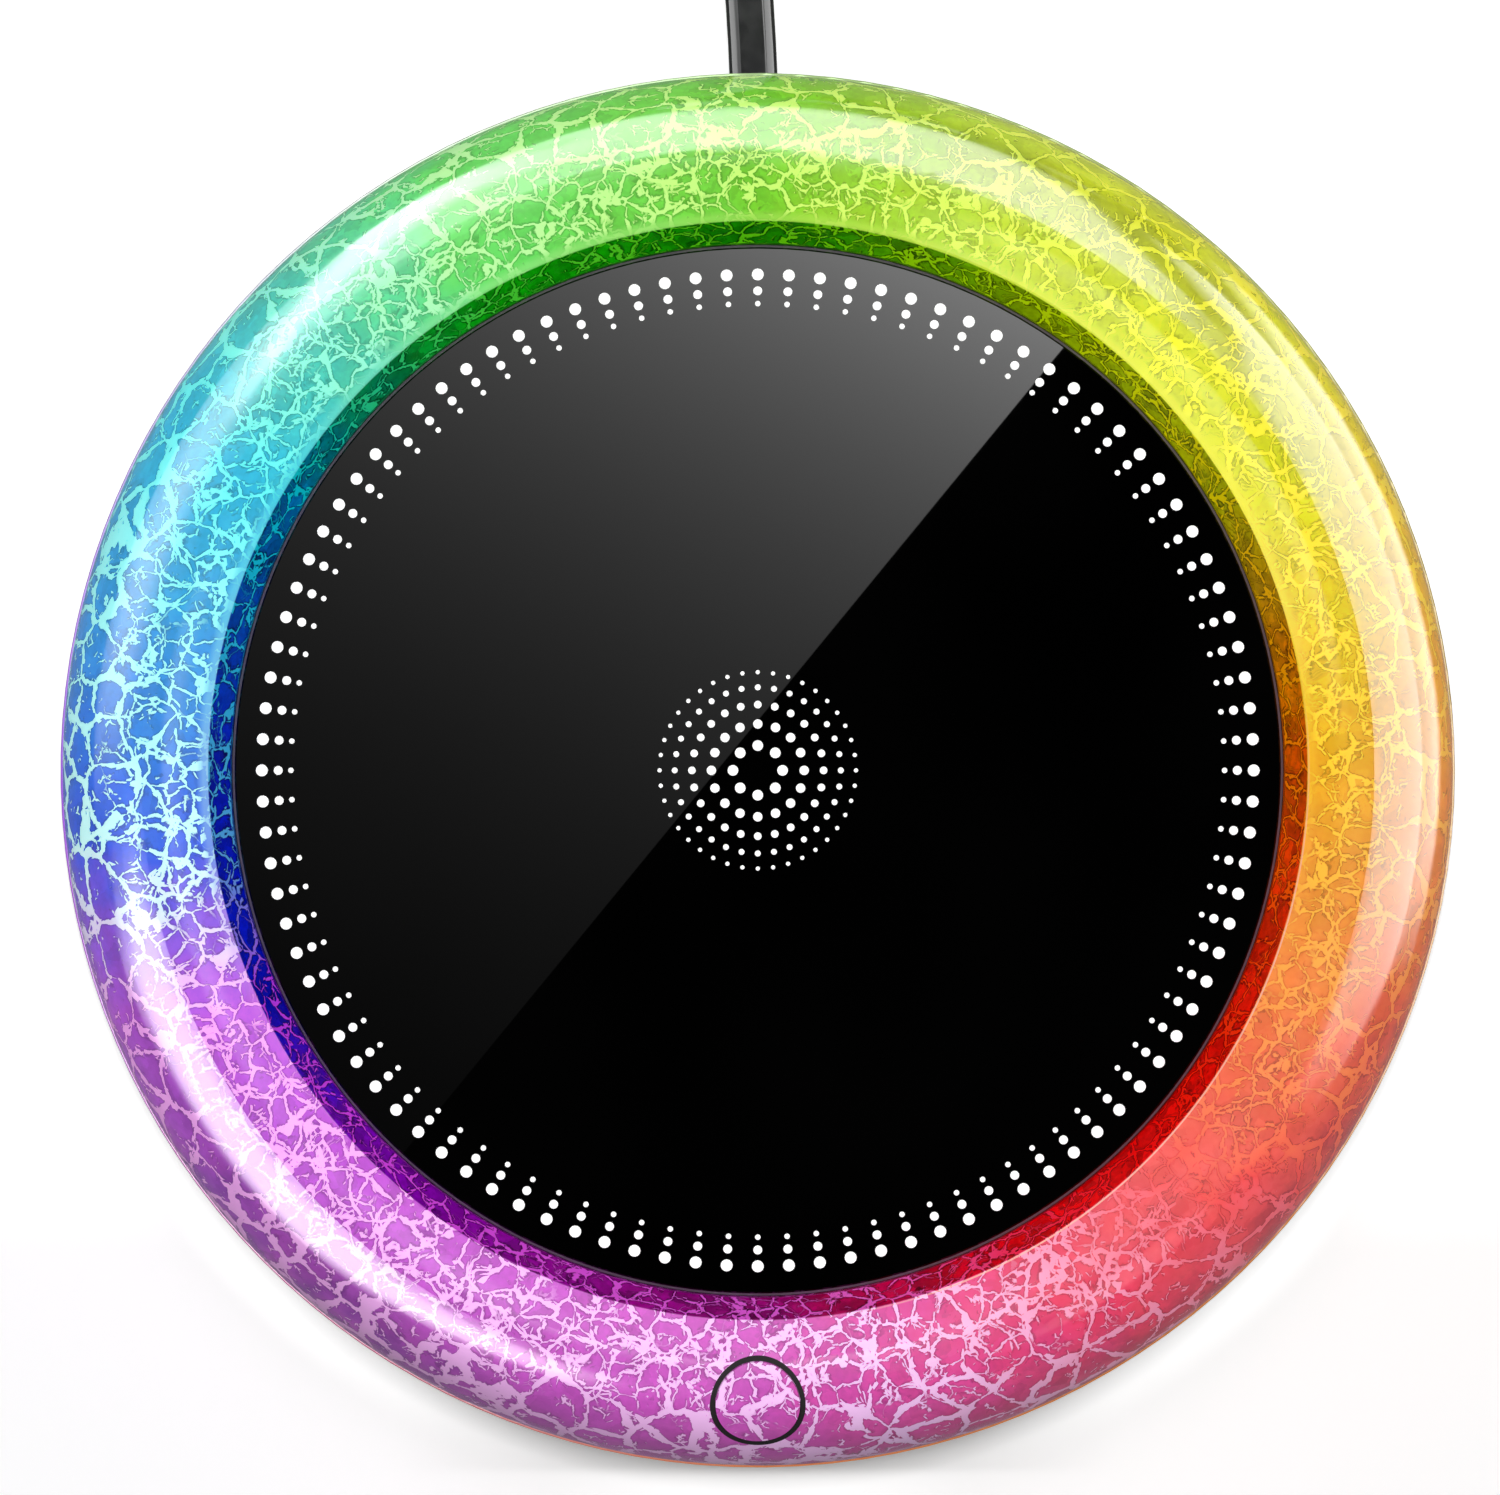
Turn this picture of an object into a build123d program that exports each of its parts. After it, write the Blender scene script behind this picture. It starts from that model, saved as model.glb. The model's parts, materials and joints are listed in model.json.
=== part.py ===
"""Electric mug warmer: a glass heating plate set down inside a translucent light ring.

Millimetres. +Z is up and the table is at Z = 0. The origin is under the middle of the housing.
The push button is at the front (-Y) and the mains lead leaves at the back (+Y).
"""
from build123d import *
import math
import os

# Housing, seen from above
OVERALL_DIAMETER = 130.0
GLOW_LIP = 0.3                # how far the glow ring stands out beyond the light ring
DOME_WIDTH = 7.7              # from the light ring's side in to its crest
RIM_WIDTH = 6.1               # from the crest in to the rim of the sloped wall
SLOPE_WIDTH = 2.0             # from the rim in to the foot of the sloped wall
PLATE_GAP = 0.2

# Heights, stacked upwards from the table
FOOT_HEIGHT = 1.2
FLOOR_THICKNESS = 2.0
BOARD_STANDOFF = 1.6
BOARD_THICKNESS = 1.6
BAY_HEIGHT = 6.2              # room above the main board
SHIELD_THICKNESS = 0.6
PAD_THICKNESS = 1.9
HEATER_THICKNESS = 0.6
SPREADER_THICKNESS = 1.2
GLASS_THICKNESS = 4.0
DISH_DEPTH = 4.0              # from the crest of the light ring down to the glass
RIM_DROP = 1.1                # from the crest down to the edge of the sloped wall

# Walls
SHELL_WALL = 2.0
BASE_WALL = 2.0
RING_SIDE_HEIGHT = 2.0
GLOW_RING_THICKNESS = 2.0
GLOW_RING_WIDTH = 3.8
GASKET_THICKNESS = 0.5
CARRIER_THICKNESS = 2.0
SKIRT_HEIGHT = 2.0
BAFFLE_SETBACK = 4.5          # from the foot of the sloped wall out to the baffle
BAFFLE_WALL = 1.8
RIM_ROUNDING = 0.5
BASE_CURVE_WIDTH = 6.9        # from the base's side in to the flat part of the underside
ROOT_DEPTH = 0.8              # how far posts and ribs are rooted in the base floor

# Heating stack
GASKET_SETBACK = 0.4          # from the plate's edge in to the gasket
GASKET_WIDTH = 5.8
CARRIER_LEDGE = 1.5           # carrier inside the gasket
SHIELD_GAP = 1.0
SHIELD_FLANGE_WIDTH = 5.4
SPREADER_SETBACK = 2.0        # from the shield's cup in to the heat spreader
PAD_SETBACK = 0.5
HEATER_SETBACK = 1.5
SHIELD_SCREW_SHIFT = 0.6      # screws sit a little outside the middle of the shield's flange
LEAD_HOLE_RADIUS = 2.8
HEATER_LEAD_PLACE = (17.0, -12.0)
THERMISTOR_PLACE = (7.5, 1.0)
THERMISTOR_RADIUS = 1.2
THERMISTOR_HEIGHT = 1.5
THERMAL_FUSE_SIZE = (9.0, 5.0, 1.6)
THERMAL_FUSE_PLACE = (-14.0, -9.0)

# Light
DIFFUSER_RISE = 0.4
DIFFUSER_THICKNESS = 1.2
DIFFUSER_LEG = 1.0
DIFFUSER_GAP = 0.3
LIGHT_BOARD_RISE = 2.8        # light board above the base floor
LIGHT_BOARD_THICKNESS = 1.6
LIGHT_BOARD_GAP = 1.5
LIGHT_BOARD_WIDTH = 4.0
LIGHT_PITCH = 15.0            # degrees between light chips
LIGHT_CHIP_SIZE = (3.5, 2.8, 1.4)
RIB_COUNT = 8
RIB_WIDTH = 1.6

# Push button, on an axis square to the light ring's surface
BUTTON_OFFSET = 1.7           # its place, outwards from the light ring's crest
BUTTON_CAP_RADIUS = 3.9
BUTTON_GAP = 0.08
BUTTON_RING_WIDTH = 0.45
BUTTON_GUIDE_WALL = 1.7
BUTTON_GUIDE_DEPTH = 3.0
BUTTON_PROUD = 0.15
BUTTON_TRAVEL = 0.5
BUTTON_FLANGE_LENGTH = 10.2   # stop bar under the cap, across the ring's width it stays narrow
BUTTON_FLANGE_WIDTH = 4.4
BUTTON_FLANGE_THICKNESS = 1.0
BUTTON_STOP_GAP = 0.3
SWITCH_SIZE = 6.0
SWITCH_HEIGHT = 2.2
PLUNGER_RADIUS = 1.6
PLUNGER_GAP = 0.06
SWITCH_BOARD_SIZE = (18.6, 6.6, 1.0)
SWITCH_SCREW_SPACING = 14.4
SWITCH_SCREW_OFFSET = -1.2
SWITCH_POST_RADIUS = 1.9

# Main board
BOARD_LENGTH = 64.0
BOARD_CORD_GAP = 7.4          # from the inner end of the lead to the board's rear edge
BOARD_SCREW_INSET = (4.5, 5.0)
BOARD_POST_RADIUS = 2.8

# Base
BASE_POST_SETBACK = 0.9
BASE_SCREW_ANGLES = (20.0, 160.0, 200.0, 340.0)
BASE_POST_RADIUS = 3.9
CARRIER_BOSS_RADIUS = 2.9
CARRIER_BOSS_DEPTH = 5.0
BASE_SCREW_RECESS = 4.0
FOOT_RADIUS = 5.0
FOOT_INSET = 18.4             # from the base's side in to the middle of a foot
FOOT_POCKET_DEPTH = 1.0
FOOT_POCKET_GAP = 0.1
VENT_WIDTH = 2.0
VENT_LENGTH = 12.0
VENT_PITCH = 6.0
VENT_PLACE = 38.0
CARRIER_SCREW_INSET = 2.0     # from the baffle in to the screws
CARRIER_SCREW_COUNT = 6
RING_BOSS_RADIUS = 2.2
RING_BOSS_HEIGHT = 4.0

# Strain relief and lead
CORD_WIDTH = 4.5
CORD_THICKNESS = 3.0
RELIEF_FLANGE = (11.0, 5.2)
RELIEF_NECK = (8.4, 4.2)
RELIEF_TIP = (6.2, 4.2)
RELIEF_TAIL = (7.6, 4.6)
RELIEF_FLANGE_THICKNESS = 1.6
RELIEF_TAIL_LENGTH = 8.0
RELIEF_NOSE_SETBACK = 0.8     # the nose ends just under the light ring's edge
RELIEF_LEAN = -0.36           # sideways lean of the nose at its tip
RELIEF_GAP = 0.1
TUNNEL_GAP = 0.2
TUNNEL_WALL = 1.5
INNER_CORD_LENGTH = 9.0
CLAMP_BAR_SIZE = (22.0, 5.0, 1.8)
CLAMP_SCREW_SPACING = 15.0
CLAMP_POST_RADIUS = 2.6
COIL_CENTRE = (12.0, 134.5)
COIL_INNER_RADIUS = 19.2
COIL_OUTER_RADIUS = 33.7
COIL_HEIGHT = 9.4
TIE_THICKNESS = 0.6
TIE_WIDTH = 5.0
TIE_ANGLE = 250.0
PLUG_BODY = (23.0, 18.0, 13.0)
PLUG_TAPER_LENGTH = 8.0
PLUG_BOOT = (8.4, 12.0, 6.6)
PLUG_BOOT_LENGTH = 8.0
BLADE_SIZE = (1.5, 16.0, 6.35)
BLADE_SPACING = 12.7
BLADE_HOLE_RADIUS = 1.75
BLADE_HOLE_PLACE = 4.5        # from the blade's tip
BLADE_TIP_ROUNDING = 1.6

# Parts on the main board: place in shares of the board's half length and half depth, then size
TERMINAL = ((0.0, 0.78), (10.0, 8.0, 5.2))
TERMINAL_HOLE_DEPTH = 1.0
X_CAPACITOR = ((-0.47, 0.52), (13.0, 12.0, 5.0))
TRIAC_BODY = ((0.53, 0.18), (9.0, 10.0, 4.4))
TRIAC_TAB = (6.0, 10.0, 1.3)
CHIP = ((-0.09, -0.26), (8.6, 3.9, 1.5))
CONNECTOR_DEPTH = 5.8
CONNECTOR_HEIGHT = 5.0
CONNECTOR_SETBACK = 5.5       # from the board's front edge to the middle of the connectors
ELECTROLYTIC_PLACE = (-0.53, 0.0)
ELECTROLYTIC_RADIUS = 2.5
ELECTROLYTIC_LENGTH = 11.0
BOARD_FUSE_PLACE = (0.41, 0.68)
BOARD_FUSE_RADIUS = 1.8
BOARD_FUSE_LENGTH = 8.0

# Wires
MAINS_WIRE_RADIUS = 0.9
MAINS_WIRE_PITCH = 2.3
HEATER_WIRE_RADIUS = 0.7
HEATER_WIRE_PITCH = 1.9
SIGNAL_WIRE_RADIUS = 0.5
SIGNAL_WIRE_PITCH = 1.3
LIGHT_WIRE_COUNT = 4
LIGHT_WIRE_PLACE = 5.6
SWITCH_WIRE_COUNT = 2
SWITCH_WIRE_PLACE = -3.2
WIRE_RUN_HEIGHT = 4.0         # wires above the main board on their way in
WIRE_ENTRY_HEIGHT = 2.6       # wires above the main board where they enter a connector
WIRE_BEND = 1.2
WIRE_SLOT_WIDTH = 18.0
WIRE_SLOT_HEIGHT = 3.2

# Values worked out from the ones above
base_bottom = FOOT_HEIGHT
floor_top = base_bottom + FLOOR_THICKNESS
board_bottom = floor_top + BOARD_STANDOFF
board_top = board_bottom + BOARD_THICKNESS
shield_bottom = board_top + BAY_HEIGHT
shield_top = shield_bottom + SHIELD_THICKNESS
pad_top = shield_top + PAD_THICKNESS
heater_top = pad_top + HEATER_THICKNESS
glass_bottom = heater_top + SPREADER_THICKNESS
glass_top = glass_bottom + GLASS_THICKNESS
crest_height = glass_top + DISH_DEPTH
rim_height = crest_height - RIM_DROP
carrier_top = glass_bottom - GASKET_THICKNESS
carrier_bottom = carrier_top - CARRIER_THICKNESS
ring_bottom = carrier_bottom - SKIRT_HEIGHT
base_rim = ring_bottom - GLOW_RING_THICKNESS
equator_height = ring_bottom + RING_SIDE_HEIGHT
housing_radius = OVERALL_DIAMETER / 2
equator_radius = housing_radius - GLOW_LIP
crest_radius = equator_radius - DOME_WIDTH
dome_height = crest_height - equator_height
rim_radius = crest_radius - RIM_WIDTH
dish_radius = rim_radius - SLOPE_WIDTH
plate_radius = dish_radius - PLATE_GAP
baffle_inner_radius = dish_radius + BAFFLE_SETBACK
baffle_outer_radius = baffle_inner_radius + BAFFLE_WALL
base_radius = equator_radius - GLOW_LIP
base_flat_radius = base_radius - BASE_CURVE_WIDTH
base_screw_radius = baffle_inner_radius - BASE_POST_RADIUS - BASE_POST_SETBACK
carrier_screw_radius = baffle_inner_radius - CARRIER_SCREW_INSET
foot_place_radius = base_radius - FOOT_INSET
gasket_outer_radius = plate_radius - GASKET_SETBACK
gasket_inner_radius = gasket_outer_radius - GASKET_WIDTH
carrier_inner_radius = gasket_inner_radius - CARRIER_LEDGE
shield_cup_radius = carrier_inner_radius - SHIELD_GAP
shield_flange_radius = shield_cup_radius + SHIELD_FLANGE_WIDTH
shield_screw_radius = (shield_cup_radius + shield_flange_radius) / 2 + SHIELD_SCREW_SHIFT
shield_flange_bottom = carrier_bottom - SHIELD_THICKNESS
spreader_radius = shield_cup_radius - SPREADER_SETBACK
pad_radius = spreader_radius - PAD_SETBACK
heater_radius = pad_radius - HEATER_SETBACK
base_screw_seat = base_bottom + BASE_SCREW_RECESS
light_board_inner_radius = baffle_outer_radius + LIGHT_BOARD_GAP
light_board_outer_radius = light_board_inner_radius + LIGHT_BOARD_WIDTH
light_radius = (light_board_inner_radius + light_board_outer_radius) / 2
button_place_radius = crest_radius + BUTTON_OFFSET
relief_nose_end = housing_radius - RELIEF_NOSE_SETBACK
light_board_bottom = floor_top + LIGHT_BOARD_RISE
light_board_top = light_board_bottom + LIGHT_BOARD_THICKNESS
diffuser_bottom = ring_bottom + DIFFUSER_RISE
cord_height = floor_top + RELIEF_FLANGE[1] / 2 + RELIEF_GAP
tunnel_half_width = RELIEF_FLANGE[0] / 2 + TUNNEL_GAP
tunnel_top = cord_height + RELIEF_FLANGE[1] / 2 + TUNNEL_GAP
relief_inner_face = baffle_inner_radius - RELIEF_FLANGE_THICKNESS - RELIEF_GAP * 4
relief_tail_end = relief_inner_face - RELIEF_TAIL_LENGTH
inner_cord_end = relief_tail_end - INNER_CORD_LENGTH
clamp_place = (relief_tail_end + inner_cord_end) / 2
board_depth = 2 * (inner_cord_end - BOARD_CORD_GAP)
connector_place = CONNECTOR_SETBACK - board_depth / 2
coil_bottom = TIE_THICKNESS
plug_height = PLUG_BODY[2] / 2

# The lead: from the nose down to the table and to the coil, and from the coil to the plug
LEAD_POINTS = [
    (RELIEF_LEAN, relief_nose_end, cord_height),
    (-1.1, 84.0, 5.0),
    (-7.2, 104.0, 1.9),
    (-15.2, 120.0, 1.7),
]
TAIL_POINTS = [
    (12.0, 166.6, 7.6),
    (26.5, 166.6, 6.4),
    (41.9, 164.4, 4.4),
    (54.9, 156.0, 3.2),
    (62.1, 142.3, 4.6),
    (62.1, 128.3, plug_height),
]
plug_rear = TAIL_POINTS[-1]


def disc(radius, bottom, top):
    """Upright solid cylinder between two heights."""
    return Pos(0, 0, (bottom + top) / 2) * Cylinder(radius, top - bottom)


def flat_ring(outer, inner, bottom, top):
    """Flat ring about the housing's axis between two heights."""
    return disc(outer, bottom, top) - disc(inner, bottom - 1, top + 1)


def block(length, depth, bottom, top, place=(0.0, 0.0)):
    """Upright block centred at a place on the plan."""
    centre = Pos(place[0], place[1], (bottom + top) / 2)
    return centre * Box(length, depth, top - bottom)


def turned(edges):
    """Solid of revolution about the housing's axis, from edges drawn as radius and height."""
    return revolve(Plane.XZ * make_face(edges), Axis.Z)


def polar(radius, angle):
    """Place on the plan at a radius and an angle in degrees."""
    return radius * math.cos(math.radians(angle)), radius * math.sin(math.radians(angle))


def group(solids):
    """Several separate solids as one sub-part."""
    return Compound(children=[Part(solid.wrapped) for solid in solids])


def screw(head_radius, head_height, shank_radius, shank_length):
    """Pan-head screw at the origin, head above the XY plane and shank below it, with a cross slot."""
    head = Pos(0, 0, head_height / 2) * Cylinder(head_radius, head_height)
    head = fillet(head.edges().group_by(Axis.Z)[-1], head_height * 0.45)
    slot = Box(head_radius * 1.2, head_radius * 0.28, head_height)
    slot += Box(head_radius * 0.28, head_radius * 1.2, head_height)
    shank = Pos(0, 0, -shank_length / 2) * Cylinder(shank_radius, shank_length)
    tip = chamfer(shank.edges().group_by(Axis.Z)[0], shank_radius * 0.4)
    return head - Pos(0, 0, head_height) * slot + tip


def bent_path(points, largest=math.inf):
    """Straight runs joined by arcs, each as large as its two runs allow, and the radii of the arcs."""
    at = [Vector(*point) for point in points]
    radii = []
    for before, here, after in zip(at, at[1:], at[2:]):
        half_turn = math.radians((here - before).get_angle(after - here)) / 2
        shorter = min((here - before).length, (after - here).length)
        radii.append(min(largest, 0.45 * shorter / math.tan(half_turn)))
    return FilletPolyline(*at, radius=radii), radii


def wire(points, radius):
    """Round wire along straight runs with small bends."""
    path, _ = bent_path(points, WIRE_BEND)
    section = Plane(origin=path @ 0, z_dir=path % 0) * Circle(radius)
    return sweep(section, path)


# Screws: head radius, head height, shank radius and shank length
BASE_SCREW = (2.7, 2.0, 1.25, 9.0)
CARRIER_SCREW = (1.8, 1.3, 0.9, 5.0)
SHIELD_SCREW = (1.9, 1.1, 0.9, 2.2)
BOARD_SCREW = (2.2, 1.3, 1.1, 4.0)
CLAMP_SCREW = (2.1, 1.3, 1.0, 5.0)
SWITCH_SCREW = (1.7, 1.1, 0.85, 4.0)


# Light ring

def dome_edges(radius_out, width, height, top, bottom):
    """Outer side of the ring: straight up from the bottom, then a quarter of an ellipse to the crest."""
    side = Line((radius_out, bottom), (radius_out, top - height))
    dome = EllipticalCenterArc((radius_out - width, top - height), width, height, 0, arc_size=90)
    return side + dome


def ring_envelope():
    """Solid of the whole ring with nothing hollowed out, down to the table side of the ring."""
    edges = dome_edges(equator_radius, DOME_WIDTH, dome_height, crest_height, ring_bottom)
    edges += TangentArc((crest_radius, crest_height), (rim_radius, rim_height), tangent=(-1, 0))
    corners = [(rim_radius, rim_height), (dish_radius, glass_top), (dish_radius, ring_bottom)]
    edges += Polyline(*corners, (equator_radius, ring_bottom))
    return turned(edges)


def ring_cavity():
    """The hollow inside the ring, open at the bottom."""
    width = DOME_WIDTH - SHELL_WALL
    height = dome_height - SHELL_WALL
    skirt_radius = dish_radius + SHELL_WALL
    inner_rim = (rim_radius + SHELL_WALL, rim_height - SHELL_WALL * 0.75)
    slope_foot = (skirt_radius, glass_top - SHELL_WALL * 0.55)
    top = crest_height - SHELL_WALL
    edges = dome_edges(equator_radius - SHELL_WALL, width, height, top, ring_bottom - 1)
    edges += TangentArc((crest_radius, top), inner_rim, tangent=(-1, 0))
    edges += Polyline(inner_rim, slope_foot, (skirt_radius, ring_bottom - 1))
    edges += Line((skirt_radius, ring_bottom - 1), (equator_radius - SHELL_WALL, ring_bottom - 1))
    return turned(edges)


def button_frame():
    """Place of the button on the ring's surface, its Z along the outward normal."""
    share = (button_place_radius - crest_radius) / DOME_WIDTH
    height = equator_height + dome_height * math.sqrt(1 - share * share)
    slope = math.atan(dome_height / DOME_WIDTH * share / math.sqrt(1 - share * share))
    return Location((0, -button_place_radius, height), (math.degrees(slope), 0, 0))


def button_stack(shape, depth_top, depth_bottom):
    """A shape made about Z, set on the button's axis between two depths below the surface."""
    return button_frame() * Pos(0, 0, -(depth_top + depth_bottom) / 2) * shape


def raised(shape, distance):
    """A shape moved outwards along the button's axis."""
    return button_frame() * Pos(0, 0, distance) * button_frame().inverse() * shape


guide_radius = BUTTON_CAP_RADIUS + BUTTON_GAP + BUTTON_RING_WIDTH
flange_top = BUTTON_GUIDE_DEPTH + BUTTON_STOP_GAP
flange_bottom = flange_top + BUTTON_FLANGE_THICKNESS
switch_top = flange_bottom + BUTTON_TRAVEL + BUTTON_STOP_GAP
switch_bottom = switch_top + SWITCH_HEIGHT
switch_board_bottom = switch_bottom + SWITCH_BOARD_SIZE[2]
CARRIER_SCREW_ANGLES = [360 / CARRIER_SCREW_COUNT * k for k in range(CARRIER_SCREW_COUNT)]
QUARTER_ANGLES = [45 + 90 * k for k in range(4)]


def light_ring_shell():
    envelope = ring_envelope()
    rim = envelope.edges().filter_by(GeomType.CIRCLE).filter_by(
        lambda e: abs(e.center().Z - rim_height) < 0.01 and abs(e.radius - rim_radius) < 0.01)
    shell = fillet(rim, RIM_ROUNDING) - ring_cavity()
    shell -= disc(equator_radius - SHELL_WALL, ring_bottom - 1, carrier_top)
    depth = BUTTON_GUIDE_DEPTH + 3
    guide = Cylinder(guide_radius + BUTTON_GUIDE_WALL, depth)
    shell += button_stack(guide, BUTTON_GUIDE_DEPTH - depth, BUTTON_GUIDE_DEPTH) & envelope
    post = Cylinder(SWITCH_POST_RADIUS, switch_bottom - 1)
    for side in (-0.5, 0.5):
        place = Pos(SWITCH_SCREW_SPACING * side, SWITCH_SCREW_OFFSET, 0) * post
        shell += button_stack(place, 1, switch_bottom) & envelope
    boss = disc(RING_BOSS_RADIUS, carrier_top, carrier_top + RING_BOSS_HEIGHT)
    for angle in CARRIER_SCREW_ANGLES:
        shell += Pos(*polar(carrier_screw_radius, angle), 0) * boss
    shell -= button_stack(Cylinder(guide_radius, 2 * depth), -depth, depth)
    pilot = Cylinder(SWITCH_SCREW[2], SWITCH_SCREW[3])
    for side in (-0.5, 0.5):
        place = Pos(SWITCH_SCREW_SPACING * side, SWITCH_SCREW_OFFSET, 0) * pilot
        pilot_bottom = switch_board_bottom
        shell -= button_stack(place, pilot_bottom - SWITCH_SCREW[3], pilot_bottom)
    hole = disc(CARRIER_SCREW[2], carrier_top - 1, carrier_bottom + CARRIER_SCREW[3])
    for angle in CARRIER_SCREW_ANGLES:
        shell -= Pos(*polar(carrier_screw_radius, angle), 0) * hole
    return shell


def glow_ring():
    ring = flat_ring(housing_radius, housing_radius - GLOW_RING_WIDTH, base_rim, ring_bottom)
    outer = ring.edges().filter_by(GeomType.CIRCLE).filter_by(lambda e: e.radius > housing_radius - 0.01)
    return fillet(outer, GLOW_LIP * 0.9)


def light_diffuser():
    outer = equator_radius - SHELL_WALL - DIFFUSER_GAP
    inner = baffle_outer_radius + DIFFUSER_GAP
    top = diffuser_bottom + DIFFUSER_THICKNESS
    body = flat_ring(outer, inner, ring_bottom, top)
    body -= flat_ring(outer - DIFFUSER_LEG, inner + DIFFUSER_LEG, ring_bottom - 1, diffuser_bottom)
    passage = block(WIRE_SLOT_WIDTH, 6, ring_bottom - 1, top + 1, (0, -inner + 0.5))
    return body - passage


def light_board():
    board = flat_ring(light_board_outer_radius, light_board_inner_radius, light_board_bottom, light_board_top)
    gap = 2 * (tunnel_half_width + TUNNEL_WALL + TUNNEL_GAP * 2)
    return board - block(gap, 20, light_board_bottom - 1, light_board_top + 1, (0, light_radius))


def light_chips():
    length, depth, height = LIGHT_CHIP_SIZE
    chips = []
    for k in range(1, round(360 / LIGHT_PITCH)):
        chip = block(depth, length, light_board_top, light_board_top + height, (light_radius, 0))
        window = block(depth * 0.6, length * 0.7, light_board_top + height - 0.2,
                       light_board_top + height + 1, (light_radius, 0))
        chips.append(Rot(0, 0, 90 + LIGHT_PITCH * k) * (chip - window))
    return group(chips)


# Heating plate

def glass_plate():
    plate = disc(plate_radius, glass_bottom, glass_top)
    return chamfer(plate.edges().group_by(Axis.Z)[-1], 0.35)


def plate_gasket():
    return flat_ring(gasket_outer_radius, gasket_inner_radius, carrier_top, glass_bottom)


def plate_carrier():
    body = flat_ring(baffle_outer_radius, carrier_inner_radius, carrier_bottom, carrier_top)
    body += flat_ring(baffle_outer_radius, baffle_inner_radius, ring_bottom, carrier_bottom)
    boss = disc(CARRIER_BOSS_RADIUS, carrier_bottom - CARRIER_BOSS_DEPTH, carrier_bottom)
    pilot = disc(BASE_SCREW[2], carrier_bottom - CARRIER_BOSS_DEPTH - 1, base_screw_seat + BASE_SCREW[3])
    for angle in BASE_SCREW_ANGLES:
        place = Pos(*polar(base_screw_radius, angle), 0)
        body += place * boss
        body -= place * pilot
    hole = disc(CARRIER_SCREW[2], carrier_bottom - 1, carrier_top + 1)
    for angle in CARRIER_SCREW_ANGLES:
        body -= Pos(*polar(carrier_screw_radius, angle), 0) * hole
    pilot = disc(SHIELD_SCREW[2], carrier_bottom - 1, shield_flange_bottom + SHIELD_SCREW[3])
    for angle in QUARTER_ANGLES:
        body -= Pos(*polar(shield_screw_radius, angle), 0) * pilot
    return body


def carrier_screws():
    one = Pos(0, 0, carrier_bottom) * Rot(180, 0, 0) * screw(*CARRIER_SCREW)
    return group([Pos(*polar(carrier_screw_radius, angle), 0) * one for angle in CARRIER_SCREW_ANGLES])


def heat_spreader():
    return disc(spreader_radius, heater_top, glass_bottom)


def heater_disc():
    return disc(heater_radius, pad_top, heater_top)


def insulation_pad():
    pad = disc(pad_radius, shield_top, pad_top)
    pad -= Pos(*HEATER_LEAD_PLACE, 0) * disc(LEAD_HOLE_RADIUS, shield_top - 1, pad_top + 1)
    pad -= Pos(*THERMISTOR_PLACE, 0) * disc(THERMISTOR_RADIUS + 0.2, shield_top - 1, pad_top + 1)
    length, depth, _ = THERMAL_FUSE_SIZE
    return pad - block(length + 7, depth + 0.4, shield_top - 1, pad_top + 1, THERMAL_FUSE_PLACE)


def heat_shield():
    """Dished plate that holds the pad and the heater up against the glass."""
    cup = flat_ring(shield_cup_radius, shield_cup_radius - SHIELD_THICKNESS, shield_bottom, carrier_bottom)
    shield = disc(shield_cup_radius, shield_bottom, shield_top) + cup
    shield += flat_ring(shield_flange_radius, shield_cup_radius - SHIELD_THICKNESS,
                        shield_flange_bottom, carrier_bottom)
    shield -= Pos(*HEATER_LEAD_PLACE, 0) * disc(LEAD_HOLE_RADIUS, shield_bottom - 1, shield_top + 1)
    shield -= Pos(*THERMISTOR_PLACE, 0) * disc(THERMISTOR_RADIUS + 0.4, shield_bottom - 1, shield_top + 1)
    for angle in QUARTER_ANGLES:
        hole = disc(SHIELD_SCREW[2], shield_flange_bottom - 1, carrier_bottom + 1)
        shield -= Pos(*polar(shield_screw_radius, angle), 0) * hole
    return shield


def shield_screws():
    one = Pos(0, 0, shield_flange_bottom) * Rot(180, 0, 0) * screw(*SHIELD_SCREW)
    return group([Pos(*polar(shield_screw_radius, angle), 0) * one for angle in QUARTER_ANGLES])


def thermistor():
    """Bead against the heater, with two leads down to the main board."""
    bead = disc(THERMISTOR_RADIUS, pad_top - THERMISTOR_HEIGHT, pad_top)
    lead = disc(0.25, board_top, pad_top - THERMISTOR_HEIGHT + 0.5)
    return Pos(*THERMISTOR_PLACE, 0) * (bead + Pos(-0.6, 0, 0) * lead + Pos(0.6, 0, 0) * lead)


def thermal_fuse():
    length, depth, height = THERMAL_FUSE_SIZE
    body = block(length, depth, pad_top - height, pad_top, THERMAL_FUSE_PLACE)
    body = fillet(body.edges().filter_by(Axis.Z), 0.8)
    middle = pad_top - height / 2
    leads = block(length + 6, 1.2, middle - 0.2, middle + 0.2, THERMAL_FUSE_PLACE)
    return body + leads


def heater_leads():
    x, y = HEATER_LEAD_PLACE
    height = board_top + WIRE_ENTRY_HEIGHT
    rear_face = connector_place + CONNECTOR_DEPTH / 2
    leads = []
    for side in (-0.5, 0.5):
        place = x + HEATER_WIRE_PITCH * side
        leads.append(wire([(place, y, pad_top), (place, y, height), (place, rear_face, height)],
                          HEATER_WIRE_RADIUS))
    return group(leads)


# Main board

def board_screw_places():
    x = BOARD_LENGTH / 2 - BOARD_SCREW_INSET[0]
    y = board_depth / 2 - BOARD_SCREW_INSET[1]
    return [(x, y), (-x, y), (-x, -y), (x, -y)]


def board_place(shares):
    """Place on the plan of a part, from its shares of the board's half length and half depth."""
    return shares[0] * BOARD_LENGTH / 2, shares[1] * board_depth / 2


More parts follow.
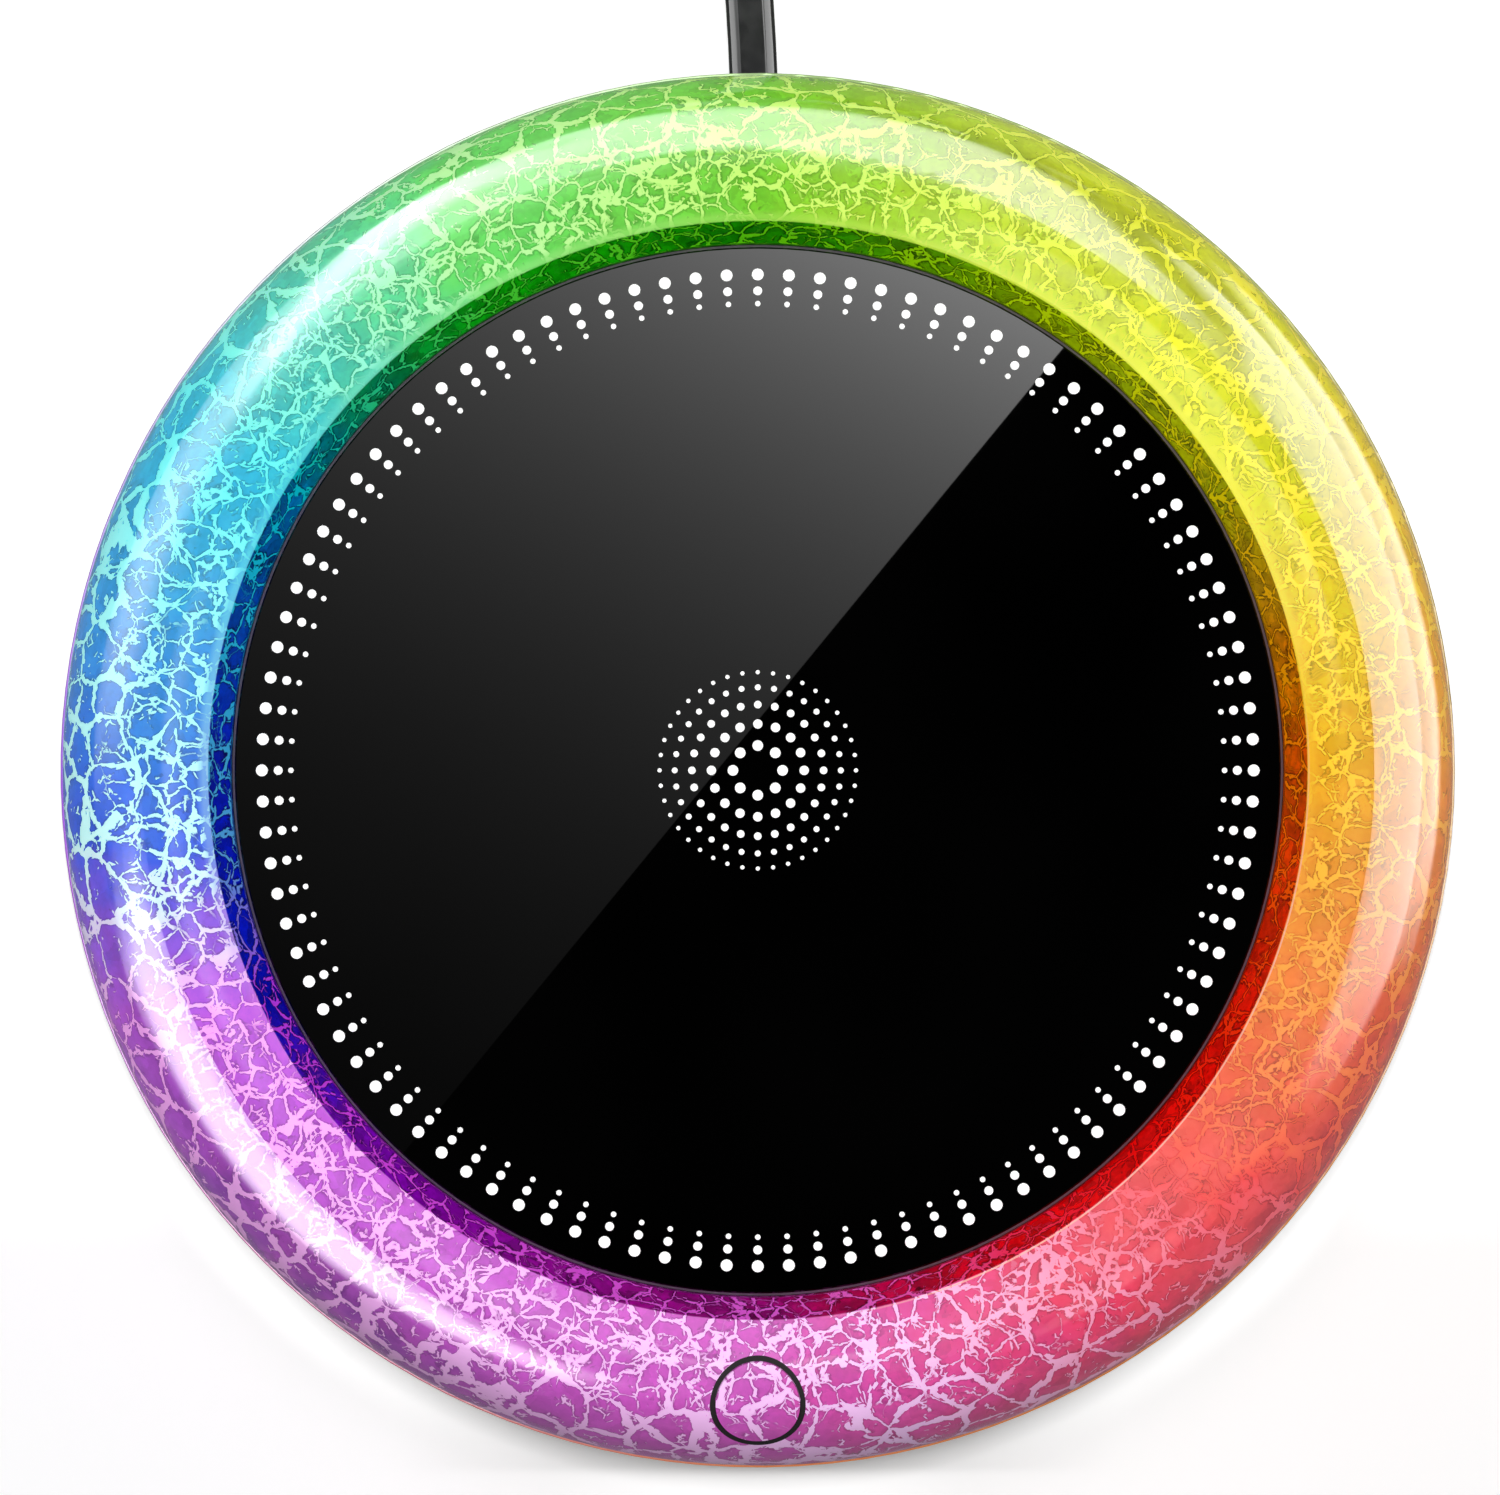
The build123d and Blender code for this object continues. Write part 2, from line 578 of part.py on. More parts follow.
def main_board():
    board = block(BOARD_LENGTH, board_depth, board_bottom, board_top)
    board = fillet(board.edges().filter_by(Axis.Z), 4)
    for place in board_screw_places():
        board -= Pos(*place, 0) * disc(BOARD_SCREW[2], board_bottom - 1, board_top + 1)
    return board


def board_screws():
    return group([Pos(*place, board_top) * screw(*BOARD_SCREW) for place in board_screw_places()])


def on_board(place, size):
    """Block standing on the main board."""
    length, depth, height = size
    return block(length, depth, board_top, board_top + height, place)


def mains_terminal():
    """Two-way terminal block with a wire hole and a screw well for each way."""
    length, depth, height = TERMINAL[1]
    place = board_place(TERMINAL[0])
    body = on_board(place, TERMINAL[1])
    for side in (-0.5, 0.5):
        x = place[0] + length / 2 * side
        rear = place[1] + depth / 2
        hole = Rot(90, 0, 0) * Cylinder(MAINS_WIRE_RADIUS, 2 * TERMINAL_HOLE_DEPTH)
        hole = Pos(x, rear, board_top + WIRE_ENTRY_HEIGHT) * hole
        well = Pos(x, place[1], board_top + height) * Cylinder(1.5, 2)
        body -= hole + well
    return body


def x_capacitor():
    body = on_board(board_place(X_CAPACITOR[0]), X_CAPACITOR[1])
    return fillet(body.edges().filter_by(Axis.Z), 0.8)


def electrolytic_capacitor():
    """Can lying on the board, with a rolled groove near its sealed end."""
    can = Cylinder(ELECTROLYTIC_RADIUS, ELECTROLYTIC_LENGTH)
    can = fillet(can.edges().filter_by(GeomType.CIRCLE), 0.5)
    groove = Cylinder(ELECTROLYTIC_RADIUS + 1, 0.8) - Cylinder(ELECTROLYTIC_RADIUS - 0.3, 0.8)
    can -= Pos(0, 0, ELECTROLYTIC_LENGTH / 2 - 2) * groove
    return Pos(*board_place(ELECTROLYTIC_PLACE), board_top + ELECTROLYTIC_RADIUS) * Rot(0, 90, 0) * can


def triac():
    """Power switch lying flat, with its metal tab towards the side."""
    size = TRIAC_BODY[1]
    place = board_place(TRIAC_BODY[0])
    tab_place = (place[0] + (size[0] + TRIAC_TAB[0]) / 2, place[1])
    hole = Pos(*tab_place, board_top) * Cylinder(1.6, 8)
    body = chamfer(on_board(place, size).edges().group_by(Axis.Z)[-1], 0.4)
    return body + on_board(tab_place, TRIAC_TAB) - hole


def control_chip():
    length, depth, height = CHIP[1]
    place = board_place(CHIP[0])
    chip = block(length, depth, board_top + 0.2, board_top + height, place)
    for k in range(7):
        x = place[0] + (k - 3) * 1.27
        chip += block(0.4, depth + 2, board_top, board_top + 0.4, (x, place[1]))
    return chip


def board_fuse():
    body = Cylinder(BOARD_FUSE_RADIUS, BOARD_FUSE_LENGTH)
    body = fillet(body.edges().filter_by(GeomType.CIRCLE), 0.6)
    return Pos(*board_place(BOARD_FUSE_PLACE), board_top + BOARD_FUSE_RADIUS) * Rot(0, 90, 0) * body


def connector(x, ways, pitch):
    """Plug-in wire connector with a locking rib along its top."""
    length = ways * pitch + 2.4
    body = on_board((x, connector_place), (length, CONNECTOR_DEPTH, CONNECTOR_HEIGHT - 0.6))
    rib = block(length * 0.5, 1.2, board_top, board_top + CONNECTOR_HEIGHT, (x, connector_place))
    return body + rib


def wire_connectors():
    return group([
        connector(LIGHT_WIRE_PLACE, LIGHT_WIRE_COUNT, SIGNAL_WIRE_PITCH),
        connector(SWITCH_WIRE_PLACE, SWITCH_WIRE_COUNT, SIGNAL_WIRE_PITCH),
        connector(HEATER_LEAD_PLACE[0], 2, HEATER_WIRE_PITCH),
    ])


def wires_to_front(count, middle, start_radius, start_height):
    """Parallel wires from a place in the ring, through the slot in the baffle, to their connector."""
    run = board_top + WIRE_RUN_HEIGHT
    entry = board_top + WIRE_ENTRY_HEIGHT
    front_face = connector_place - CONNECTOR_DEPTH / 2
    wires = []
    for k in range(count):
        x = middle + (k - (count - 1) / 2) * SIGNAL_WIRE_PITCH
        points = [(x, -start_radius, start_height), (x, -start_radius, run), (x, front_face - 5, run),
                  (x, front_face - 3.5, entry), (x, front_face, entry)]
        wires.append(wire(points, SIGNAL_WIRE_RADIUS))
    return group(wires)


def light_wires():
    return wires_to_front(LIGHT_WIRE_COUNT, LIGHT_WIRE_PLACE, light_board_inner_radius + 0.8, light_board_top)


def switch_wires():
    pad = (button_frame() * Pos(0, 0, -switch_board_bottom)).position
    return wires_to_front(SWITCH_WIRE_COUNT, SWITCH_WIRE_PLACE, -pad.Y, pad.Z - 0.2)


# Push button and its switch

def button_cap():
    """Cap that follows the ring's surface, with a stop bar below it that the guide holds back."""
    cap = button_stack(Cylinder(BUTTON_CAP_RADIUS, flange_top + 3), -3, flange_top)
    cap = cap & raised(ring_envelope(), BUTTON_PROUD)
    bar = Box(BUTTON_FLANGE_LENGTH, BUTTON_FLANGE_WIDTH, BUTTON_FLANGE_THICKNESS)
    bar = fillet(bar.edges().filter_by(Axis.Z), 1.5)
    return cap + button_stack(bar, flange_top, flange_bottom)


def button_gasket():
    inner = BUTTON_CAP_RADIUS + BUTTON_GAP
    tube = Cylinder(guide_radius, BUTTON_GUIDE_DEPTH + 3) - Cylinder(inner, BUTTON_GUIDE_DEPTH + 4)
    return button_stack(tube, -3, BUTTON_GUIDE_DEPTH) & raised(ring_envelope(), BUTTON_PROUD / 2)


def switch_body():
    plunger_room = BUTTON_TRAVEL + BUTTON_STOP_GAP + 1
    body = Box(SWITCH_SIZE, SWITCH_SIZE, SWITCH_HEIGHT)
    body = chamfer(body.edges().filter_by(Axis.Z), 0.5)
    body -= Pos(0, 0, SWITCH_HEIGHT / 2) * Cylinder(PLUNGER_RADIUS + PLUNGER_GAP, 2 * plunger_room)
    return button_stack(body, switch_top, switch_bottom)


def switch_plunger():
    end = switch_top + 1
    return button_stack(Cylinder(PLUNGER_RADIUS, end - flange_bottom), flange_bottom, end)


def switch_board():
    length, depth, thickness = SWITCH_BOARD_SIZE
    board = Pos(0, SWITCH_SCREW_OFFSET / 2, 0) * Box(length, depth - SWITCH_SCREW_OFFSET, thickness)
    board = fillet(board.edges().filter_by(Axis.Z), 1)
    for side in (-0.5, 0.5):
        hole = Cylinder(SWITCH_SCREW[2], 2 * thickness)
        board -= Pos(SWITCH_SCREW_SPACING * side, SWITCH_SCREW_OFFSET, 0) * hole
    return button_stack(board, switch_bottom, switch_board_bottom)


def switch_screws():
    one = Rot(180, 0, 0) * screw(*SWITCH_SCREW)
    screws = []
    for side in (-0.5, 0.5):
        place = Pos(SWITCH_SCREW_SPACING * side, SWITCH_SCREW_OFFSET, 0) * one
        screws.append(button_stack(place, switch_board_bottom, switch_board_bottom))
    return group(screws)


# Base

def base_solid():
    """Outer form of the base: a flat underside that curves up to the rim."""
    edges = Line((0, base_bottom), (base_flat_radius, base_bottom))
    edges += EllipticalCenterArc((base_flat_radius, base_rim), base_radius - base_flat_radius,
                                 base_rim - base_bottom, 270, arc_size=90)
    edges += Polyline((base_radius, base_rim), (0, base_rim), (0, base_bottom))
    return turned(edges)


def base_hollow():
    edges = Line((0, floor_top), (base_flat_radius, floor_top))
    edges += EllipticalCenterArc((base_flat_radius, base_rim), base_radius - BASE_WALL - base_flat_radius,
                                 base_rim - floor_top, 270, arc_size=90)
    edges += Polyline((base_radius - BASE_WALL, base_rim), (0, base_rim), (0, floor_top))
    return turned(edges)


def light_ribs():
    """Ribs that carry the light board and, higher up, the inner leg of the diffuser."""
    ribs = []
    diffuser_seat = baffle_outer_radius + DIFFUSER_GAP + DIFFUSER_LEG
    root = baffle_outer_radius - BAFFLE_WALL / 2
    for k in range(RIB_COUNT):
        low = block(light_board_outer_radius - root, RIB_WIDTH, floor_top - ROOT_DEPTH, light_board_bottom,
                    ((light_board_outer_radius + root) / 2, 0))
        high = block(diffuser_seat - root, RIB_WIDTH, floor_top - ROOT_DEPTH, ring_bottom,
                     ((diffuser_seat + root) / 2, 0))
        ribs.append(Rot(0, 0, 360 / RIB_COUNT * (k + 0.5)) * (low + high))
    return ribs


def cord_tunnel():
    """Walled recess at the back in which the nose of the strain relief lies."""
    half = tunnel_half_width + TUNNEL_WALL
    depth = base_radius - baffle_inner_radius
    middle = (0, baffle_inner_radius + ROOT_DEPTH + depth / 2)
    return block(2 * half, depth, floor_top - ROOT_DEPTH, base_rim, middle) & base_solid()


def vent_slots():
    slots = []
    slot = extrude(SlotOverall(VENT_LENGTH, VENT_WIDTH), FLOOR_THICKNESS + 2)
    for k in range(5):
        slots.append(Pos((k - 2) * VENT_PITCH, -VENT_PLACE, base_bottom - 1) * Rot(0, 0, 90) * slot)
    for side in (-1, 1):
        for k in range(3):
            slots.append(Pos(VENT_PLACE * side, (k - 1) * VENT_PITCH, base_bottom - 1) * slot)
    return slots


def base_shell():
    shell = base_solid() - base_hollow()
    shell += flat_ring(baffle_outer_radius, baffle_inner_radius, floor_top - ROOT_DEPTH, ring_bottom)
    for rib in light_ribs():
        shell += rib
    shell += cord_tunnel()
    tunnel_depth = housing_radius - baffle_outer_radius + 2
    shell -= block(2 * tunnel_half_width, tunnel_depth, floor_top, tunnel_top,
                   (0, baffle_outer_radius + tunnel_depth / 2))
    neck = (RELIEF_NECK[0] + 2 * RELIEF_GAP, RELIEF_NECK[1] / 2 + RELIEF_GAP)
    shell -= block(neck[0], 8, cord_height - neck[1], cord_height + neck[1], (0, baffle_outer_radius))
    shell -= block(WIRE_SLOT_WIDTH, 8, ring_bottom - WIRE_SLOT_HEIGHT, ring_bottom + 1,
                   (0, -baffle_outer_radius + BAFFLE_WALL / 2))
    post_top = carrier_bottom - CARRIER_BOSS_DEPTH
    for angle in BASE_SCREW_ANGLES:
        place = Pos(*polar(base_screw_radius, angle), 0)
        shell += place * disc(BASE_POST_RADIUS, base_bottom, post_top)
        shell -= place * disc(BASE_SCREW[0] + 0.2, base_bottom - 1, base_screw_seat)
        shell -= place * disc(BASE_SCREW[2], base_bottom, post_top + 1)
    for place in board_screw_places():
        shell += Pos(*place, 0) * disc(BOARD_POST_RADIUS, floor_top - ROOT_DEPTH, board_bottom)
        shell -= Pos(*place, 0) * disc(BOARD_SCREW[2], board_top - BOARD_SCREW[3], board_bottom + 1)
    clamp_bottom = cord_height + CORD_THICKNESS / 2
    cord_bottom = cord_height - CORD_THICKNESS / 2
    cradle = block(CORD_WIDTH + 1, CLAMP_BAR_SIZE[1], floor_top - ROOT_DEPTH, cord_bottom, (0, clamp_place))
    shell += cradle
    screw_end = clamp_bottom + CLAMP_BAR_SIZE[2] - CLAMP_SCREW[3]
    for side in (-0.5, 0.5):
        place = Pos(CLAMP_SCREW_SPACING * side, clamp_place, 0)
        shell += place * disc(CLAMP_POST_RADIUS, floor_top - ROOT_DEPTH, clamp_bottom)
        shell -= place * disc(CLAMP_SCREW[2], screw_end, clamp_bottom + 1)
    for angle in QUARTER_ANGLES:
        pocket = disc(FOOT_RADIUS + FOOT_POCKET_GAP, base_bottom - 1, base_bottom + FOOT_POCKET_DEPTH)
        shell -= Pos(*polar(foot_place_radius, angle), 0) * pocket
    for slot in vent_slots():
        shell -= slot
    return shell


def rubber_feet():
    foot = disc(FOOT_RADIUS, 0, base_bottom + FOOT_POCKET_DEPTH)
    foot = fillet(foot.edges().group_by(Axis.Z)[0], 0.5)
    return group([Pos(*polar(foot_place_radius, angle), 0) * foot for angle in QUARTER_ANGLES])


def base_screws():
    one = Pos(0, 0, base_screw_seat) * Rot(180, 0, 0) * screw(*BASE_SCREW)
    return group([Pos(*polar(base_screw_radius, angle), 0) * one for angle in BASE_SCREW_ANGLES])


# Strain relief, clamp and lead

def relief_section(y, size, x=0.0, rounding=1.2):
    """Rounded upright section across the lead at a distance behind the middle."""
    plane = Plane(origin=(x, y, cord_height), x_dir=(1, 0, 0), z_dir=(0, 1, 0))
    return plane * RectangleRounded(*size, rounding)


def strain_relief():
    flange_out = baffle_outer_radius + RELIEF_GAP
    nose_start = flange_out + RELIEF_FLANGE_THICKNESS
    tail = loft([relief_section(relief_tail_end, (CORD_WIDTH + 1.6, CORD_THICKNESS + 1.0)),
                 relief_section(relief_inner_face, RELIEF_TAIL)])
    inner_flange = extrude(relief_section(relief_inner_face, RELIEF_FLANGE), RELIEF_FLANGE_THICKNESS)
    neck = extrude(relief_section(relief_inner_face, RELIEF_NECK), nose_start - relief_inner_face)
    outer_flange = extrude(relief_section(flange_out, RELIEF_FLANGE), RELIEF_FLANGE_THICKNESS)
    nose = loft([relief_section(nose_start, (RELIEF_NECK[0] + 0.6, RELIEF_NECK[1] + 0.6)),
                 relief_section(relief_nose_end, RELIEF_TIP, RELIEF_LEAN)])
    return tail + inner_flange + neck + outer_flange + nose


def inner_cord():
    """Sheathed end of the lead inside the housing, under the clamp."""
    plane = Plane(origin=(0, inner_cord_end, cord_height), x_dir=(1, 0, 0), z_dir=(0, 1, 0))
    return extrude(plane * SlotOverall(CORD_WIDTH, CORD_THICKNESS), INNER_CORD_LENGTH)


def cord_clamp():
    length, depth, thickness = CLAMP_BAR_SIZE
    bottom = cord_height + CORD_THICKNESS / 2
    bar = block(length, depth, bottom, bottom + thickness, (0, clamp_place))
    bar = fillet(bar.edges().filter_by(Axis.Z), 2)
    for side in (-0.5, 0.5):
        hole = disc(CLAMP_SCREW[2], bottom - 1, bottom + thickness + 1)
        bar -= Pos(CLAMP_SCREW_SPACING * side, clamp_place, 0) * hole
    return bar


def clamp_screws():
    top = cord_height + CORD_THICKNESS / 2 + CLAMP_BAR_SIZE[2]
    one = screw(*CLAMP_SCREW)
    return group([Pos(CLAMP_SCREW_SPACING * side, clamp_place, top) * one for side in (-0.5, 0.5)])


def mains_wires():
    length, depth, _ = TERMINAL[1]
    place = board_place(TERMINAL[0])
    entry = board_top + WIRE_ENTRY_HEIGHT
    end = place[1] + depth / 2 - TERMINAL_HOLE_DEPTH
    room = inner_cord_end - end
    wires = []
    for side in (-0.5, 0.5):
        start = MAINS_WIRE_PITCH * side
        x = place[0] + length / 2 * side
        points = [(start, inner_cord_end, cord_height), (start, inner_cord_end - room * 0.2, cord_height),
                  (x, end + room * 0.34, entry), (x, end, entry)]
        wires.append(wire(points, MAINS_WIRE_RADIUS))
    return group(wires)


def cord_tube(name, points):
    """Flat lead along its route, wide side up."""
    path, radii = bent_path(points)
    section = Plane(origin=path @ 0, x_dir=(path % 0).cross(Vector(0, 0, 1)), z_dir=path % 0)
    tube = sweep(section * SlotOverall(CORD_WIDTH, CORD_THICKNESS), path)
    area = CORD_THICKNESS * (CORD_WIDTH - CORD_THICKNESS) + math.pi * CORD_THICKNESS ** 2 / 4
    print(name, "length", round(path.length, 1), "bend radii", [round(r, 1) for r in radii],
          "volume over section x length", round(tube.volume / (area * path.length), 4))
    return tube


def coil_place():
    return Pos(COIL_CENTRE[0], COIL_CENTRE[1], 0)


def cord_coil():
    """Outer form of the turns that are put away."""
    ring = flat_ring(COIL_OUTER_RADIUS, COIL_INNER_RADIUS, coil_bottom, coil_bottom + COIL_HEIGHT)
    return coil_place() * fillet(ring.edges().filter_by(GeomType.CIRCLE), 1.5)


def coil_tie():
    """Flat band round the bundle of turns, with its twisted end on top."""
    half = TIE_WIDTH / 2
    inner = math.sqrt(COIL_INNER_RADIUS ** 2 - half ** 2)
    length = COIL_OUTER_RADIUS - inner
    middle = ((COIL_OUTER_RADIUS + inner) / 2, 0)
    top = coil_bottom + COIL_HEIGHT
    band = block(length + 2 * TIE_THICKNESS, TIE_WIDTH, 0, top + TIE_THICKNESS, middle)
    band = fillet(band.edges().filter_by(Axis.Y), TIE_THICKNESS * 0.9)
    band -= block(length, TIE_WIDTH + 2, coil_bottom, top, middle)
    twist = block(2.2, TIE_WIDTH * 0.9, top + TIE_THICKNESS / 2, top + TIE_THICKNESS + 1.4, middle)
    return coil_place() * Rot(0, 0, TIE_ANGLE) * (band + fillet(twist.edges().filter_by(Axis.Y), 0.6))


def plug_section(y, size):
    """Rounded upright section across the plug, a distance in front of where the lead enters."""
    plane = Plane(origin=(plug_rear[0], plug_rear[1] - y, plug_height), x_dir=(-1, 0, 0), z_dir=(0, -1, 0))
    return plane * RectangleRounded(size[0], size[1], min(size) * 0.3)


def plug_body():
    boot_width, boot_wide_end, boot_height = PLUG_BOOT
    boot_tip = (CORD_WIDTH + 1.2, CORD_THICKNESS + 1.2)
    boot_waist = (boot_width, boot_height * 0.85)
    boot_root = (boot_wide_end, boot_height)
    face = (PLUG_BODY[0], PLUG_BODY[2])
    taper_end = PLUG_BOOT_LENGTH + PLUG_TAPER_LENGTH
    boot = loft([plug_section(0, boot_tip), plug_section(PLUG_BOOT_LENGTH * 0.6, boot_waist),
                 plug_section(PLUG_BOOT_LENGTH, boot_root)], ruled=True)
    taper = loft([plug_section(PLUG_BOOT_LENGTH, boot_root), plug_section(taper_end, face)])
    return boot + taper + extrude(plug_section(taper_end, face), PLUG_BODY[1])


def plug_blades():
    thickness, length, width = BLADE_SIZE
    face = plug_rear[1] - PLUG_BOOT_LENGTH - PLUG_TAPER_LENGTH - PLUG_BODY[1]
    blades = []
    for side in (-0.5, 0.5):
        blade = Box(thickness, length, width)
        tip = blade.edges().filter_by(Axis.X).group_by(Axis.Y)[0]
        blade = fillet(tip, BLADE_TIP_ROUNDING)
        hole = Rot(0, 90, 0) * Cylinder(BLADE_HOLE_RADIUS, 2 * thickness)
        blade -= Pos(0, BLADE_HOLE_PLACE - length / 2, 0) * hole
        blades.append(Pos(plug_rear[0] + BLADE_SPACING * side, face - length / 2, plug_height) * blade)
    return group(blades)


SUB_PARTS = {
    "light_ring_shell": light_ring_shell, "glow_ring": glow_ring, "light_diffuser": light_diffuser,
    "light_board": light_board, "light_chips": light_chips, "glass_plate": glass_plate,
    "plate_gasket": plate_gasket, "plate_carrier": plate_carrier, "carrier_screws": carrier_screws,
    "heat_spreader": heat_spreader, "heater_disc": heater_disc, "insulation_pad": insulation_pad,
    "heat_shield": heat_shield, "shield_screws": shield_screws, "thermistor": thermistor,
    "thermal_fuse": thermal_fuse, "heater_leads": heater_leads, "main_board": main_board,
    "board_screws": board_screws, "mains_terminal": mains_terminal, "x_capacitor": x_capacitor,
    "electrolytic_capacitor": electrolytic_capacitor, "triac": triac, "control_chip": control_chip,
    "board_fuse": board_fuse, "wire_connectors": wire_connectors, "light_wires": light_wires,
    "switch_wires": switch_wires, "button_cap": button_cap, "button_gasket": button_gasket,
    "switch_body": switch_body, "switch_plunger": switch_plunger, "switch_board": switch_board,
    "switch_screws": switch_screws, "base_shell": base_shell, "rubber_feet": rubber_feet,
    "base_screws": base_screws, "strain_relief": strain_relief, "inner_cord": inner_cord,
    "cord_clamp": cord_clamp, "clamp_screws": clamp_screws, "mains_wires": mains_wires,
    "cord_coil": cord_coil, "coil_tie": coil_tie, "plug_body": plug_body, "plug_blades": plug_blades,
}

os.makedirs("parts", exist_ok=True)
for name, make in SUB_PARTS.items():
    export_step(make(), f"parts/{name}.step")
for name, points in (("cord_lead", LEAD_POINTS), ("cord_tail", TAIL_POINTS)):
    export_step(cord_tube(name, points), f"parts/{name}.step")
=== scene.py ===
"""Electric mug warmer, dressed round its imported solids.

Metres. +Z is up and the table is at Z = 0. The push button is at the front (-Y), the lead leaves at the back.
"""
import json
import math

import bmesh
import bpy
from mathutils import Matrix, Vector


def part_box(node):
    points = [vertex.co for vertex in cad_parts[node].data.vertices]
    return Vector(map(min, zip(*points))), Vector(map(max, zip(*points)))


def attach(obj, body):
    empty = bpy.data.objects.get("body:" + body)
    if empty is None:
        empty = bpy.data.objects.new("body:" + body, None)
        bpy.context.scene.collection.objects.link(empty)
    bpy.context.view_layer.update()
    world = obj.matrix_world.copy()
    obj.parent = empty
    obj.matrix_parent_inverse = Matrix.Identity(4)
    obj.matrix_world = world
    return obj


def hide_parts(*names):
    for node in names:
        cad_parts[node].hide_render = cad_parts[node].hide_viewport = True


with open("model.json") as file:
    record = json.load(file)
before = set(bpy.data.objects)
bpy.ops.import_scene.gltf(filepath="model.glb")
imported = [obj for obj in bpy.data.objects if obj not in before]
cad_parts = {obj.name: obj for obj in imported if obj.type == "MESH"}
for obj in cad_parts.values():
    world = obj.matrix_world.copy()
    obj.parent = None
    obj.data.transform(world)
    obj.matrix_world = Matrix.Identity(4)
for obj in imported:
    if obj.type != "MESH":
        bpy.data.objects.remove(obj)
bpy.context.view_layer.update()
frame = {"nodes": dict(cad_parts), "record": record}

MM = 0.001
RING_SPAN = 0.1398              # width of table that the view takes in, at the ring's height
RING_LEVEL = 0.0124
VIEW_HEIGHT = 1.5               # camera above the ring
VIEW_CENTRE = (-0.00072, 0.00212)
STUDIO_RADIUS = 0.9             # most cards stand this far from the warmer
NEAR_RADIUS = 0.65

PLATE_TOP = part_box("glass_plate")[1].z
PLATE_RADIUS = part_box("glass_plate")[1].x
RIM_RADIUS = 0.0509             # where the sloped wall round the plate begins


# Camera

def set_camera():
    data = bpy.data.cameras.new("camera")
    data.sensor_width = 36
    data.lens = data.sensor_width * VIEW_HEIGHT / RING_SPAN
    data.clip_end = 20
    camera = bpy.data.objects.new("camera", data)
    camera.location = (*VIEW_CENTRE, RING_LEVEL + VIEW_HEIGHT)
    bpy.context.scene.collection.objects.link(camera)
    bpy.context.scene.camera = camera


# Lead: the route's points in millimetres, from the strain relief to the coil and on to the plug

LEAD_WIDTH = 4.5
LEAD_THICKNESS = 3.0
LEAD_EDGE = 1.05
LEAD_POINTS = [
    (-0.36, 64.2, 5.9),
    (-1.1, 84.0, 5.0),
    (-7.2, 104.0, 1.9),
    (-15.2, 120.0, 2.0),
]
TAIL_POINTS = [
    (12.0, 166.6, 7.6),
    (26.5, 166.6, 6.4),
    (41.9, 164.4, 4.4),
    (54.9, 156.0, 3.2),
    (62.1, 142.3, 4.6),
    (62.1, 128.3, 6.5),
]
COIL_CENTRE = (12.0, 134.5)
COIL_OUTER_LINE = 32.0          # radius of the outermost turn's middle
COIL_INNER_LINE = 20.8
COIL_LOW_LAYER = 2.95
COIL_HIGH_LAYER = 7.6
COIL_START_ANGLE = 208.1
COIL_TURNS = 7.328
COIL_STEPS = 88


def coil_points():
    """Turns wound inwards along the table, up, and outwards again on top of the first layer."""
    points = []
    step = 360 * COIL_TURNS / COIL_STEPS
    bulge = 1 / math.cos(math.radians(step / 2))
    for k in range(1, COIL_STEPS):
        share = k / COIL_STEPS
        inwards = 1 - abs(2 * share - 1)
        radius = COIL_OUTER_LINE - (COIL_OUTER_LINE - COIL_INNER_LINE) * inwards
        climb = min(1, max(0, (share - 0.48) / 0.035))
        height = COIL_LOW_LAYER + (COIL_HIGH_LAYER - COIL_LOW_LAYER) * climb
        angle = math.radians(COIL_START_ANGLE - step * k)
        points.append((COIL_CENTRE[0] + radius * bulge * math.cos(angle),
                       COIL_CENTRE[1] + radius * bulge * math.sin(angle), height))
    return points


def lead_line():
    """The lead's middle line as a smooth curve, read back as points."""
    route = LEAD_POINTS + coil_points() + TAIL_POINTS
    data = bpy.data.curves.new("lead_line", "CURVE")
    data.dimensions = "3D"
    data.resolution_u = 10
    spline = data.splines.new("NURBS")
    spline.points.add(len(route) - 1)
    for point, place in zip(spline.points, route):
        point.co = (place[0] * MM, place[1] * MM, place[2] * MM, 1)
    spline.order_u = 3
    spline.use_endpoint_u = True
    line = bpy.data.objects.new("lead_line", data)
    bpy.context.scene.collection.objects.link(line)
    bpy.context.view_layer.update()
    mesh = bpy.data.meshes.new_from_object(line)
    points = [vertex.co.copy() for vertex in mesh.vertices]
    bpy.data.objects.remove(line)
    bpy.data.meshes.remove(mesh)
    return points


def lead_section():
    """Flat section with rounded edges, its wide side along X."""
    half_width = LEAD_WIDTH / 2 - LEAD_EDGE
    half_height = LEAD_THICKNESS / 2 - LEAD_EDGE
    section = []
    for corner, (x, y) in enumerate([(1, 1), (-1, 1), (-1, -1), (1, -1)]):
        for k in range(-1, 7):
            angle = math.radians(90 * corner + 18 * min(5, max(0, k)))
            inset = 0.1 * ((k == 6) - (k == -1))
            across = x * half_width + LEAD_EDGE * math.cos(angle) - inset * math.sin(angle)
            up = y * half_height + LEAD_EDGE * math.sin(angle) + inset * math.cos(angle)
            section.append(Vector((across, up)) * MM)
    return section


def smooth_step(value, low, high):
    share = min(1, max(0, (value - low) / (high - low)))
    return share * share * (3 - 2 * share)


